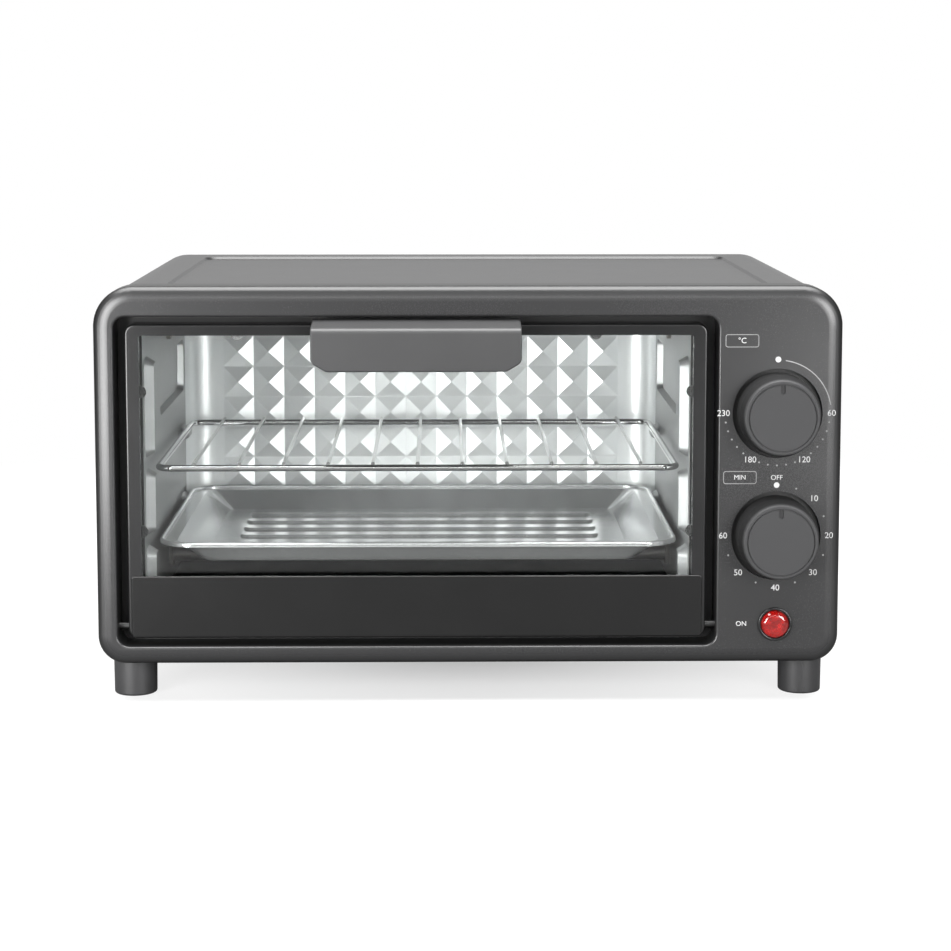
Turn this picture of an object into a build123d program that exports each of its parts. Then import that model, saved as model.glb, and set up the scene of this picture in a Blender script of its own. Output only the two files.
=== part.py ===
from build123d import *
import os
from math import asin, cos, radians, tan

os.makedirs("parts", exist_ok=True)

# A ten-litre table-top oven with a drop-down glass door.
# Millimetres. X runs to the right, Y to the back and Z up, from the floor under the feet.
# A depth is counted backwards from the front face of the fascia.

# Casing
FASCIA_W = 370.0
FASCIA_H = 189.2
FASCIA_D = 18.0
FASCIA_WALL = 2.5
TOP_R = 20.0
BOTTOM_R = 14.0
BODY_D = 252.0
SHEET = 0.8
SLIP = 0.2
COVER_INSET = 1.2
COVER_LAP = 4.0
COVER_LIP = 28.0
EMBOSS_W = 304.0
EMBOSS_MARGIN = 20.0
EMBOSS_D = 1.2
EMBOSS_R = 9.0
EMBOSS_SLOPE = 45.0
VENT_L = 26.0
VENT_W = 3.2
VENT_PITCH = 7.5
VENT_COUNT = 9
VENT_MARGIN = 30.0
REAR_FLANGE = 9.0

# Feet
FOOT_H = 21.0
FOOT_TOP_D = 22.4
FOOT_BOTTOM_D = 21.6
FOOT_EDGE_R = 1.2
FOOT_INSET = 15.0
FOOT_FRONT = 30.0
FOOT_REAR = 28.0
FOOT_BORE = 9.0
FOOT_BORE_DEPTH = 9.0
FOOT_SEAT = 0.05

# Screws
SCREW_D = 3.0
SCREW_HOLE = 3.4
SCREW_HEAD_D = 6.0
SCREW_HEAD_H = 2.2
SCREW_GRIP = 3.0
COVER_SCREW_RISE = 52.0

# Door recess in the fascia and the steel front frame behind it
LEFT_RIM = 10.15
RIGHT_RIM = 61.55
TOP_RIM = 14.9
BOTTOM_RIM = 9.1
RECESS_R = 6.0
RECESS_ROUND = 1.2
RIM_FLAT = 2.4
RIM_FALL = 2.0
RIM_ROUND = 4.0
RIM_EASE = 11.0
FRAME_T = 1.0

# Door
DOOR_SIDE_GAP = 5.0
DOOR_BOTTOM_GAP = 3.4
DOOR_TOP_GAP = 4.0
DOOR_SET = 4.0
DOOR_T = 11.0
DOOR_R = 5.0
DOOR_ROUND = 1.2
STILE = 7.0
TOP_RAIL = 5.7
APRON_H = 30.7
APRON_T = 1.2
APRON_SIDE = 2.0
APRON_BOTTOM = 0.9
APRON_ROUND = 0.5
APRON_PIN_D = 3.0
APRON_PIN_L = 3.0
APRON_PIN_PITCH = 110.0
GLASS_T = 3.2
GLASS_LAP = 2.2
GLASS_FRONT = 4.0
GLASS_DROP = 5.0
RAIL_WALL = 2.5
CLIP_EDGE = 0.8
CLIP_SCREW_EDGE = 1.5
CLIP_W = 6.0
CLIP_T = 1.2
CLIP_SHOW = 2.8
CLIP_SCREW_D = 1.4
CLIP_HEAD_D = 2.8
CLIP_HEAD_H = 1.1
CLIP_SCREW_L = 3.0
CLIP_LOW_UP = 53.0
CLIP_PITCH = 70.3
CLIP_TOP_PITCH = 178.0
DOOR_OPEN = 90.0
HINGE_UP = 5.5
HINGE_BACK = 5.0
PIN_D = 4.0
PIN_RUN = 0.05
PIN_IN_DOOR = 8.0
ARM_R = 28.0
ARM_W = 6.0
ARM_T = 1.5
ARM_TANG = 6.0
ARM_START = 8.0
ARM_SWEEP = 98.0
ARM_SLOT_CLEAR = 1.0

# Handle
HANDLE_W = 102.5
HANDLE_REACH = 20.0
HANDLE_RISE = 2.6
HANDLE_FALL = 2.8
HANDLE_WEB = 4.6
HANDLE_LIP_T = 3.6
HANDLE_LIP_H = 21.0
HANDLE_ROUND = 2.6
HANDLE_EDGE = 0.8
HANDLE_CUT_W = 7.5
HANDLE_CUT_H = 4.5
HANDLE_CORNER = 4.0
HANDLE_FOOT_T = 4.5
HANDLE_TAB_H = 8.0
HANDLE_PITCH = 70.0
HANDLE_SCREW_D = 2.4
HANDLE_HEAD_D = 4.4
HANDLE_HEAD_H = 1.6
HANDLE_SCREW_L = 5.5

# Cavity
CAVITY_BEHIND = 27.0
CAVITY_ABOVE = 22.2
CAVITY_UP = 18.0
CORNER_R = 16.0
FLANGE = 8.0
PYRAMID_PITCH = 17.9
PYRAMID_GAP = 0.4
PYRAMID_H = 3.0
PYRAMID_TIP = 0.5
PYRAMID_LIFT = 4.6
RIDGE_FRONT = 26.0
RIDGE_W = 15.0
RIDGE_H = 4.5
RIDGE_SLOPE = 32.0
RIDGE_R = 5.0
RIDGE_HEAD = 16.0
RIDGE_FOOT_UP = 4.0
SHELF_GAP = 6.0
RACK_UP = 93.3
TRAY_UP = 52.4
LUG_BACK = 28.0
LUG_L = 22.0
LUG_H = 9.0
POCKET_FRONT = 90.0
POCKET_END = 8.0
POCKET_LOW_UP = 113.0
POCKET_HEAD = 24.0
POCKET_D = 3.4
POCKET_R = 4.0
POCKET_SLOPE = 20.0

# Heating elements
HEATER_D = 8.0
HEATER_DEPTH = 125.0
HEATER_TOP_DROP = 10.0
HEATER_LOW_UP = 14.0
HEATER_END = 9.0
HEATER_ROUND = 1.0
HEATER_PIN_D = 3.0
HEATER_PIN_L = 4.0
BUSH_D = 13.0
BUSH_FLANGE_D = 17.0
BUSH_FLANGE_T = 2.0
BUSH_LIP_T = 2.0
BUSH_L = 8.0
BUSH_FIT = 0.1

# Controls
CONTROL_INSET = 32.2
TEMPERATURE_UP = 126.0
TIMER_UP = 64.6
LAMP_UP = 20.0
WELL_D = 44.6
WELL_DEPTH = 3.0
KNOB_CLEAR = 0.5
KNOB_D = 40.0
KNOB_FACE_D = 36.8
KNOB_REACH = 18.5
KNOB_SHOULDER = 10.5
KNOB_ROUND = 1.0
KNOB_WALL = 2.2
KNOB_GROOVE_D = 33.6
KNOB_GROOVE_W = 0.7
KNOB_GROOVE_DEPTH = 0.6
KNOB_NOTCH_W = 2.2
KNOB_NOTCH_L = 5.0
KNOB_NOTCH_DEPTH = 0.9
KNOB_BOSS_D = 11.0
SHAFT_D = 6.0
SHAFT_RUN = 0.05
SHAFT_FLAT = 1.4
SHAFT_IN_KNOB = 10.0
SHAFT_IN_CONTROL = 9.0
SHAFT_HOLE_CLEAR = 1.0
NECK_D = 10.0
NECK_L = 5.0
NECK_FIT = 0.15
THERMOSTAT_W = 30.0
THERMOSTAT_H = 36.0
THERMOSTAT_D = 17.0
TIMER_W = 46.0
TIMER_H = 50.0
TIMER_D = 32.0
CONTROL_R = 3.0
CONTROL_SCREW_PITCH = 26.0
TAB_W = 6.3
TAB_T = 0.8
TAB_L = 9.0
TAB_PITCH = 12.0
BELL_D = 30.0
BELL_H = 9.0
BELL_WALL = 1.0
BELL_POST_D = 4.0
BELL_POST_L = 7.0
LENS_D = 13.8
LENS_DOME = 3.6
LENS_SHANK_D = 11.6
LENS_SHANK_L = 9.0
LENS_BORE_D = 8.4
BEZEL_D = 17.0
BEZEL_T = 1.6
LAMP_D = 6.0
LAMP_CAP_T = 3.0
LAMP_CAP_REACH = 1.2

# Mains side
GLAND_D = 15.0
GLAND_FLANGE_D = 20.0
GLAND_PROUD = 6.0
GLAND_IN = 5.0
GLAND_BORE = 8.0
GLAND_UP = 42.0
BLOCK_W = 34.0
BLOCK_D = 18.0
BLOCK_H = 15.0
BLOCK_WAYS = 3
BLOCK_SCREW_D = 5.0
BLOCK_SCREW_DEPTH = 4.0
BLOCK_BACK = 46.0

# Wire rack and baking tray
RACK_SIDE_GAP = 2.85
RACK_BACK_GAP = 14.0
RACK_FRONT = 36.0
RACK_FRAME_D = 3.4
RACK_WIRE_D = 2.0
RACK_BEND_R = 7.0
RACK_WIRES = 11
RACK_MARGIN = 20.3
RACK_WELD = 0.5
RUN_GAP = 0.3
TRAY_SIDE_GAP = 3.15
TRAY_BACK_GAP = 4.0
TRAY_FRONT = 37.0
TRAY_T = 0.8
TRAY_RIM = 9.0
TRAY_DEPTH = 10.0
TRAY_SIDE_SLOPE = 13.0
TRAY_END_SLOPE = 8.0
TRAY_R = 18.0
TRAY_ROLL_D = 2.4
TRAY_FLOOR_R = 5.0
BEAD_MARGIN = 36.0
BEAD_W = 9.0
BEAD_H = 1.3
BEAD_PITCH = 21.0
BEAD_COUNT = 6

# Places that follow from the sizes above
FACE_Y = HANDLE_REACH - (HANDLE_REACH + BODY_D + GLAND_PROUD) / 2
CASE_MID_Z = FOOT_H + FASCIA_H / 2
CASE_HALF = FASCIA_W / 2
COVER_SIDE = CASE_HALF - COVER_INSET
COVER_TOP_Z = FOOT_H + FASCIA_H - COVER_INSET
COVER_FRONT = FASCIA_D - COVER_LAP
INNER_INSET = COVER_INSET + SHEET + SLIP
BASE_Z = FOOT_H + COVER_INSET + SHEET
BASE_VENT_X = COVER_SIDE - COVER_LIP - VENT_L
FRAME_BACK = FASCIA_D + FRAME_T
RIM_SLOPE_W = BOTTOM_RIM - RECESS_ROUND - RIM_FLAT

RECESS_LEFT = LEFT_RIM - CASE_HALF
RECESS_RIGHT = CASE_HALF - RIGHT_RIM
RECESS_W = RECESS_RIGHT - RECESS_LEFT
RECESS_LOW = FOOT_H + BOTTOM_RIM
RECESS_HIGH = FOOT_H + FASCIA_H - TOP_RIM
DOOR_X = (RECESS_LEFT + RECESS_RIGHT) / 2
DOOR_HALF = RECESS_W / 2 - DOOR_SIDE_GAP
DOOR_LOW = RECESS_LOW + DOOR_BOTTOM_GAP
DOOR_HIGH = RECESS_HIGH - DOOR_TOP_GAP
DOOR_BACK = DOOR_SET + DOOR_T
WINDOW_HALF = DOOR_HALF - STILE
WINDOW_HIGH = DOOR_HIGH - TOP_RAIL
APRON_LOW = DOOR_LOW + APRON_BOTTOM
APRON_HIGH = APRON_LOW + APRON_H
WINDOW_LOW = APRON_HIGH - GLASS_DROP
GLASS_HALF = WINDOW_HALF + GLASS_LAP
GLASS_HIGH = WINDOW_HIGH + GLASS_LAP
GLASS_LOW = WINDOW_LOW - GLASS_LAP
GLASS_FACE = DOOR_SET + GLASS_FRONT
GLASS_BACK = GLASS_FACE + GLASS_T
HINGE_Z = DOOR_LOW + HINGE_UP
HINGE_DEPTH = DOOR_SET + HINGE_BACK
ARM_END = DOOR_OPEN - ARM_START - ARM_SWEEP
ARM_OUT = (GLASS_HALF + DOOR_HALF) / 2
HANDLE_TOP = DOOR_HIGH + HANDLE_RISE
HANDLE_LOW = HANDLE_TOP - HANDLE_FALL - HANDLE_LIP_H
HANDLE_SCREW_Z = WINDOW_HIGH - HANDLE_TAB_H / 2

CAVITY_HALF = WINDOW_HALF
CAVITY_LOW = FOOT_H + CAVITY_UP
CAVITY_HIGH = FOOT_H + FASCIA_H - CAVITY_ABOVE
CAVITY_H = CAVITY_HIGH - CAVITY_LOW
CAVITY_BACK = BODY_D - CAVITY_BEHIND
CORNER_START = CAVITY_BACK - CORNER_R
PYRAMID_COLUMNS = int(2 * (CAVITY_HALF - CORNER_R) // PYRAMID_PITCH)
PYRAMID_ROWS = int((CAVITY_H - 2 * PYRAMID_LIFT) // PYRAMID_PITCH)
POCKET_BACK = CORNER_START - POCKET_END
POCKET_LOW = FOOT_H + POCKET_LOW_UP
POCKET_HIGH = CAVITY_HIGH - POCKET_HEAD
RACK_Z = FOOT_H + RACK_UP
TRAY_Z = FOOT_H + TRAY_UP
RACK_W = 2 * (CAVITY_HALF - RACK_SIDE_GAP)
RACK_L = CAVITY_BACK - PYRAMID_H - RACK_BACK_GAP - RACK_FRONT
RACK_PITCH = (RACK_W - 2 * RACK_MARGIN) / (RACK_WIRES - 1)
TRAY_W = 2 * (CAVITY_HALF - TRAY_SIDE_GAP)
TRAY_L = CAVITY_BACK - PYRAMID_H - TRAY_BACK_GAP - TRAY_FRONT
BEAD_L = TRAY_W - 2 * BEAD_MARGIN
SEAT_RISE = tan(radians(RIDGE_SLOPE))
RACK_WIRE_R = RACK_FRAME_D / 2
RACK_SEAT_Z = (
    RACK_Z
    + (CAVITY_HALF - RACK_W / 2 + RACK_WIRE_R) * SEAT_RISE
    - (RACK_WIRE_R + RUN_GAP) / cos(radians(RIDGE_SLOPE))
)
TRAY_SEAT_Z = TRAY_Z + (CAVITY_HALF - TRAY_W / 2) * SEAT_RISE - RUN_GAP
HEATER_ZS = (CAVITY_LOW + HEATER_LOW_UP, CAVITY_HIGH - HEATER_TOP_DROP)

CONTROL_X = CASE_HALF - CONTROL_INSET
TEMPERATURE_Z = FOOT_H + TEMPERATURE_UP
TIMER_Z = FOOT_H + TIMER_UP
LAMP_Z = FOOT_H + LAMP_UP
DIAL_ZS = (TEMPERATURE_Z, TIMER_Z)
FOOT_X = CASE_HALF - FOOT_INSET
FOOT_DEPTHS = {"front": FOOT_FRONT, "rear": BODY_D - FOOT_REAR}
SIDES = {"left": -1, "right": 1}


def at(depth):
    """The Y of a depth behind the fascia's face."""
    return FACE_Y + depth


def facing(depth):
    """A plane that faces the front at a depth, with X to the right and Z up."""
    return Plane(origin=(0, at(depth), 0), x_dir=(1, 0, 0), z_dir=(0, -1, 0))


def bounded(left, right, low, high, radius=0.0, mode=Mode.ADD):
    """Draw a rectangle by its four sides, with round corners where a radius is given."""
    with Locations(((left + right) / 2, (low + high) / 2)):
        if radius > 0:
            RectangleRounded(right - left, high - low, radius, mode=mode)
        else:
            Rectangle(right - left, high - low, mode=mode)


def casing(inset):
    """The outline of the casing seen from the front, drawn in by an inset."""
    with BuildSketch() as outline:
        with Locations((0, CASE_MID_Z)):
            Rectangle(FASCIA_W - 2 * inset, FASCIA_H - 2 * inset)
        corners = outline.vertices().group_by(Axis.Y)
        fillet(corners[0], BOTTOM_R - inset)
        fillet(outline.vertices().group_by(Axis.Y)[-1], TOP_R - inset)
    return outline.sketch


def loop(z, depth, width, length, radius):
    """A level rounded loop behind the door, from a depth at its front, as a path for wire."""
    with BuildSketch(Plane.XY.offset(z)) as ring:
        with Locations((DOOR_X, at(depth + length / 2))):
            RectangleRounded(width, length, radius)
    return ring.sketch.face().outer_wire()


def save(part, name):
    """Label a finished piece and write it to its own file."""
    part.label = name
    export_step(part, f"parts/{name}.step")


# Front fascia: a moulded face with the door recess, two dial wells and the lamp hole
with BuildPart() as front_fascia:
    with BuildSketch(facing(FASCIA_D)):
        add(casing(0))
    extrude(amount=FASCIA_D)
    front_face = front_fascia.faces().sort_by(Axis.Y)[0]
    chamfer(front_face.edges(), RIM_SLOPE_W, RIM_FALL, reference=front_face)
    rim_edge = front_fascia.edges().filter_by_position(
        Axis.Y, at(RIM_FALL - SLIP), at(RIM_FALL + SLIP)
    )
    fillet(rim_edge, RIM_ROUND)
    fillet(front_fascia.faces().sort_by(Axis.Y)[0].edges(), RIM_EASE)
    with BuildSketch(facing(FASCIA_D)):
        bounded(RECESS_LEFT, RECESS_RIGHT, RECESS_LOW, RECESS_HIGH, RECESS_R)
    extrude(amount=FASCIA_D, mode=Mode.SUBTRACT)
    recess_mouth = front_fascia.faces().sort_by(Axis.Y)[0].inner_wires()[0]
    fillet(recess_mouth.edges(), RECESS_ROUND)
    with BuildSketch(facing(FASCIA_D)):
        add(casing(FASCIA_WALL))
        bounded(
            RECESS_LEFT - FASCIA_WALL,
            RECESS_RIGHT + FASCIA_WALL,
            RECESS_LOW - FASCIA_WALL,
            RECESS_HIGH + FASCIA_WALL,
            RECESS_R + FASCIA_WALL,
            mode=Mode.SUBTRACT,
        )
    extrude(amount=FASCIA_D - FASCIA_WALL - RIM_FALL, mode=Mode.SUBTRACT)
    with BuildSketch(facing(FASCIA_D)):
        add(casing(COVER_INSET - SLIP))
        add(casing(FASCIA_WALL), mode=Mode.SUBTRACT)
    extrude(amount=COVER_LAP + SLIP, mode=Mode.SUBTRACT)
    with BuildSketch(facing(WELL_DEPTH + FASCIA_WALL)):
        with Locations(*[(CONTROL_X, z) for z in DIAL_ZS]):
            Circle(WELL_D / 2 + FASCIA_WALL)
    extrude(amount=WELL_DEPTH)
    with BuildSketch(facing(WELL_DEPTH)):
        with Locations(*[(CONTROL_X, z) for z in DIAL_ZS]):
            Circle(WELL_D / 2)
    extrude(amount=WELL_DEPTH, mode=Mode.SUBTRACT)
    with BuildSketch(facing(WELL_DEPTH + FASCIA_WALL)):
        with Locations(*[(CONTROL_X, z) for z in DIAL_ZS]):
            Circle(SHAFT_D / 2 + SHAFT_HOLE_CLEAR)
        with Locations((CONTROL_X, LAMP_Z)):
            Circle(LENS_SHANK_D / 2 + SLIP)
    extrude(amount=WELL_DEPTH + FASCIA_WALL, mode=Mode.SUBTRACT)
    with BuildSketch(Plane.YZ.offset(RECESS_LEFT - FASCIA_WALL)):
        with Locations((at(HINGE_DEPTH), HINGE_Z)):
            Circle(PIN_D / 2)
    extrude(amount=RECESS_W + 2 * FASCIA_WALL, mode=Mode.SUBTRACT)
save(front_fascia.part, "front_fascia")

# Steel front frame: closes the back of the fascia round the mouth of the cavity
with BuildPart() as front_frame:
    with BuildSketch(facing(FRAME_BACK)):
        add(casing(INNER_INSET))
        bounded(
            DOOR_X - CAVITY_HALF,
            DOOR_X + CAVITY_HALF,
            CAVITY_LOW,
            CAVITY_HIGH,
            mode=Mode.SUBTRACT,
        )
        arm_rise = ARM_R * cos(asin((FRAME_BACK - HINGE_DEPTH) / ARM_R))
        with Locations(*[(DOOR_X + side * ARM_OUT, HINGE_Z + arm_rise) for side in SIDES.values()]):
            Rectangle(ARM_T + 2 * ARM_SLOT_CLEAR, 2 * ARM_W, mode=Mode.SUBTRACT)
        with Locations(*[(CONTROL_X, z) for z in DIAL_ZS]):
            Circle(NECK_D / 2 + NECK_FIT, mode=Mode.SUBTRACT)
            with GridLocations(0, CONTROL_SCREW_PITCH, 1, 2):
                Circle(SCREW_HOLE / 2, mode=Mode.SUBTRACT)
    extrude(amount=FRAME_T)
save(front_frame.part, "front_frame")

# Outer cover: one sheet wrapped over the top and sides, with a sunk panel in its top
with BuildPart() as outer_cover:
    with BuildSketch(facing(BODY_D)):
        add(casing(COVER_INSET))
        add(casing(COVER_INSET + SHEET), mode=Mode.SUBTRACT)
        bounded(
            COVER_LIP - CASE_HALF,
            CASE_HALF - COVER_LIP,
            FOOT_H,
            FOOT_H + BOTTOM_R,
            mode=Mode.SUBTRACT,
        )
    extrude(amount=BODY_D - COVER_FRONT)
    emboss_front = at(FASCIA_D + EMBOSS_MARGIN / 2)
    emboss_back = at(BODY_D - EMBOSS_MARGIN)
    with BuildSketch(Plane.XY.offset(COVER_TOP_Z - SHEET)):
        bounded(
            -EMBOSS_W / 2 - SHEET,
            EMBOSS_W / 2 + SHEET,
            emboss_front - SHEET,
            emboss_back + SHEET,
            EMBOSS_R + SHEET,
        )
    extrude(amount=-EMBOSS_D)
    with BuildSketch(Plane.XY.offset(COVER_TOP_Z)):
        bounded(-EMBOSS_W / 2, EMBOSS_W / 2, emboss_front, emboss_back, EMBOSS_R)
    extrude(amount=-EMBOSS_D, taper=EMBOSS_SLOPE, mode=Mode.SUBTRACT)
    vent_zs = (FOOT_H + VENT_MARGIN + VENT_L / 2, FOOT_H + FASCIA_H - VENT_MARGIN - VENT_L / 2)
    for side in SIDES.values():
        with BuildSketch(Plane.YZ.offset(side * CASE_HALF)):
            with Locations(*[(at(BODY_D / 2), z) for z in vent_zs]):
                with GridLocations(VENT_PITCH, 0, VENT_COUNT, 1):
                    SlotOverall(VENT_L, VENT_W, rotation=90)
        extrude(amount=-side * (COVER_INSET + 2 * SHEET), mode=Mode.SUBTRACT)
        with BuildSketch(Plane.YZ.offset(side * CASE_HALF)):
            with Locations((at(BODY_D - REAR_FLANGE / 2), CASE_MID_Z)):
                with GridLocations(0, 2 * COVER_SCREW_RISE, 1, 2):
                    Circle(SCREW_HOLE / 2)
        extrude(amount=-side * (COVER_INSET + 2 * SHEET), mode=Mode.SUBTRACT)
    with BuildSketch(Plane.XY.offset(FOOT_H)):
        with Locations(*[(s * FOOT_X, at(d)) for s in SIDES.values() for d in FOOT_DEPTHS.values()]):
            Circle(SCREW_HOLE / 2)
    extrude(amount=COVER_INSET + 2 * SHEET, mode=Mode.SUBTRACT)
save(outer_cover.part, "outer_cover")

# Rear panel: a shallow pan inside the back end of the cover, with vents and the cord's hole
with BuildPart() as rear_panel:
    with BuildSketch(facing(BODY_D)):
        add(casing(INNER_INSET))
    extrude(amount=SHEET)
    with BuildSketch(facing(BODY_D)):
        add(casing(INNER_INSET))
        add(casing(INNER_INSET + SHEET), mode=Mode.SUBTRACT)
    extrude(amount=REAR_FLANGE)
    with BuildSketch(facing(BODY_D)):
        with Locations(*[(DOOR_X, z) for z in vent_zs]):
            with GridLocations(VENT_PITCH, 0, 2 * VENT_COUNT, 1):
                SlotOverall(VENT_L, VENT_W, rotation=90)
        with Locations((CONTROL_X, FOOT_H + FASCIA_H - VENT_MARGIN - VENT_L / 2)):
            with GridLocations(VENT_PITCH, 0, VENT_COUNT // 2, 1):
                SlotOverall(VENT_L, VENT_W, rotation=90)
        with Locations((CONTROL_X, FOOT_H + GLAND_UP)):
            Circle(GLAND_D / 2 + SLIP)
    extrude(amount=SHEET, mode=Mode.SUBTRACT)
    for side in SIDES.values():
        with BuildSketch(Plane.YZ.offset(side * CASE_HALF)):
            with Locations((at(BODY_D - REAR_FLANGE / 2), CASE_MID_Z)):
                with GridLocations(0, 2 * COVER_SCREW_RISE, 1, 2):
                    Circle(SCREW_HOLE / 2)
        extrude(amount=-side * (INNER_INSET + 2 * SHEET), mode=Mode.SUBTRACT)
save(rear_panel.part, "rear_panel")

# Base panel: lies on the cover's bottom lips, vented, and notched round the foot screws
with BuildPart() as base_panel:
    with BuildSketch(Plane.XY.offset(BASE_Z)):
        bounded(
            BOTTOM_R - CASE_HALF,
            CASE_HALF - BOTTOM_R,
            at(FRAME_BACK),
            at(BODY_D - REAR_FLANGE - SLIP),
        )
        with Locations(*[(s * FOOT_X, at(d)) for s in SIDES.values() for d in FOOT_DEPTHS.values()]):
            Circle(SCREW_HOLE / 2, mode=Mode.SUBTRACT)
        with Locations(*[(x, at(BODY_D / 2)) for x in (DOOR_X, BASE_VENT_X)]):
            with GridLocations(0, VENT_PITCH, 1, VENT_COUNT):
                SlotOverall(VENT_L, VENT_W, mode=Mode.SUBTRACT)
    extrude(amount=SHEET)
save(base_panel.part, "base_panel")

# Feet: round pads whose tops are cut to the rounded lower corners of the cover
for end, depth in FOOT_DEPTHS.items():
    for side_name, side in SIDES.items():
        with BuildPart() as foot:
            with BuildSketch(Plane.XY):
                with Locations((side * FOOT_X, at(depth))):
                    Circle(FOOT_BOTTOM_D / 2)
            with BuildSketch(Plane.XY.offset(FOOT_H + BOTTOM_R)):
                with Locations((side * FOOT_X, at(depth))):
                    Circle(FOOT_TOP_D / 2)
            loft()
            fillet(foot.faces().sort_by(Axis.Z)[0].edges(), FOOT_EDGE_R)
            with BuildSketch(facing(BODY_D)):
                add(casing(COVER_INSET - FOOT_SEAT))
            extrude(amount=BODY_D, mode=Mode.SUBTRACT)
            with Locations(Plane(origin=(side * FOOT_X, at(depth), 0), z_dir=(0, 0, -1))):
                CounterBoreHole(SCREW_HOLE / 2, FOOT_BORE / 2, FOOT_BORE_DEPTH)
        save(foot.part, f"foot_{end}_{side_name}")

# Foot screws: up through each foot and the cover's lip into the base panel
with BuildPart() as foot_screws:
    with BuildSketch(Plane.XY.offset(FOOT_BORE_DEPTH)):
        with Locations(*[(s * FOOT_X, at(d)) for s in SIDES.values() for d in FOOT_DEPTHS.values()]):
            Circle(SCREW_HEAD_D / 2)
    extrude(amount=-SCREW_HEAD_H)
    with BuildSketch(Plane.XY.offset(FOOT_BORE_DEPTH)):
        with Locations(*[(s * FOOT_X, at(d)) for s in SIDES.values() for d in FOOT_DEPTHS.values()]):
            Circle(SCREW_D / 2)
    extrude(amount=BASE_Z + SHEET + SCREW_GRIP - FOOT_BORE_DEPTH)
save(foot_screws.part, "foot_screws")

# Cover screws: through the cover's sides into the flange of the rear panel
with BuildPart() as cover_screws:
    for side in SIDES.values():
        with BuildSketch(Plane.YZ.offset(side * COVER_SIDE)):
            with Locations((at(BODY_D - REAR_FLANGE / 2), CASE_MID_Z)):
                with GridLocations(0, 2 * COVER_SCREW_RISE, 1, 2):
                    Circle(SCREW_HEAD_D / 2)
        extrude(amount=side * COVER_INSET)
        with BuildSketch(Plane.YZ.offset(side * COVER_SIDE)):
            with Locations((at(BODY_D - REAR_FLANGE / 2), CASE_MID_Z)):
                with GridLocations(0, 2 * COVER_SCREW_RISE, 1, 2):
                    Circle(SCREW_D / 2)
        extrude(amount=-side * (2 * SHEET + SLIP + SCREW_GRIP))
save(cover_screws.part, "cover_screws")

# Cavity side walls: pressed sheet with the shelf ridges, rear lugs and the upper pocket
RIDGES = (
    (CAVITY_LOW + RIDGE_FOOT_UP, TRAY_SEAT_Z),
    (TRAY_SEAT_Z + SHELF_GAP, RACK_SEAT_Z),
    (RACK_SEAT_Z + SHELF_GAP, CAVITY_HIGH - RIDGE_HEAD),
)
for side_name, side in SIDES.items():
    wall_x = DOOR_X + side * CAVITY_HALF
    with BuildPart() as wall:
        with BuildSketch(Plane.YZ.offset(wall_x)):
            bounded(at(FRAME_BACK), at(CORNER_START), CAVITY_LOW, CAVITY_HIGH)
        extrude(amount=side * SHEET)
        with BuildSketch(Plane.YZ.offset(wall_x)):
            for low, high in RIDGES:
                bounded(at(RIDGE_FRONT), at(RIDGE_FRONT + RIDGE_W), low, high, RIDGE_R)
            for seat in (TRAY_SEAT_Z, RACK_SEAT_Z):
                bounded(
                    at(CORNER_START - LUG_BACK),
                    at(CORNER_START - LUG_BACK + LUG_L),
                    seat - LUG_H,
                    seat,
                    LUG_H / 2 - SLIP,
                )
        extrude(amount=-side * RIDGE_H, taper=RIDGE_SLOPE)
        with BuildSketch(Plane.YZ.offset(wall_x + side * SHEET)):
            for low, high in RIDGES:
                bounded(
                    at(RIDGE_FRONT) + SHEET,
                    at(RIDGE_FRONT + RIDGE_W) - SHEET,
                    low + SHEET,
                    high - SHEET,
                    RIDGE_R - SHEET,
                )
        extrude(amount=-side * RIDGE_H, taper=RIDGE_SLOPE, mode=Mode.SUBTRACT)
        with BuildSketch(Plane.YZ.offset(wall_x + side * SHEET)):
            bounded(
                at(POCKET_FRONT) - SHEET,
                at(POCKET_BACK) + SHEET,
                POCKET_LOW - SHEET,
                POCKET_HIGH + SHEET,
                POCKET_R + SHEET,
            )
        extrude(amount=side * POCKET_D, taper=POCKET_SLOPE)
        with BuildSketch(Plane.YZ.offset(wall_x)):
            bounded(
                at(POCKET_FRONT),
                at(POCKET_BACK),
                POCKET_LOW,
                POCKET_HIGH,
                POCKET_R,
            )
        extrude(amount=side * POCKET_D, taper=POCKET_SLOPE, mode=Mode.SUBTRACT)
        with BuildSketch(Plane.YZ.offset(wall_x)):
            with Locations(*[(at(HEATER_DEPTH), z) for z in HEATER_ZS]):
                Circle(BUSH_D / 2 + BUSH_FIT)
        extrude(amount=side * SHEET, mode=Mode.SUBTRACT)
    save(wall.part, f"cavity_{side_name}_wall")

# Cavity ceiling and floor: sheets across the side walls, each with a front flange
for name, seam, outward in (
    ("cavity_ceiling", CAVITY_HIGH, 1),
    ("cavity_floor", CAVITY_LOW, -1),
):
    with BuildPart() as sheet:
        with BuildSketch(Plane.XY.offset(seam)):
            bounded(
                DOOR_X - CAVITY_HALF - SHEET,
                DOOR_X + CAVITY_HALF + SHEET,
                at(FRAME_BACK),
                at(CAVITY_BACK + SHEET),
            )
        extrude(amount=outward * SHEET)
        with BuildSketch(Plane.XY.offset(seam)):
            bounded(
                DOOR_X - CAVITY_HALF - SHEET,
                DOOR_X + CAVITY_HALF + SHEET,
                at(FRAME_BACK),
                at(FRAME_BACK + SHEET),
            )
        extrude(amount=outward * FLANGE)
    save(sheet.part, name)

# Reflector back wall: a bent sheet with round vertical corners and a field of pyramids
with BuildPart() as pyramid:
    with BuildSketch(facing(CAVITY_BACK)):
        Rectangle(PYRAMID_PITCH - PYRAMID_GAP, PYRAMID_PITCH - PYRAMID_GAP)
    with BuildSketch(facing(CAVITY_BACK - PYRAMID_H)):
        Rectangle(PYRAMID_TIP, PYRAMID_TIP)
    loft(ruled=True)

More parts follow.
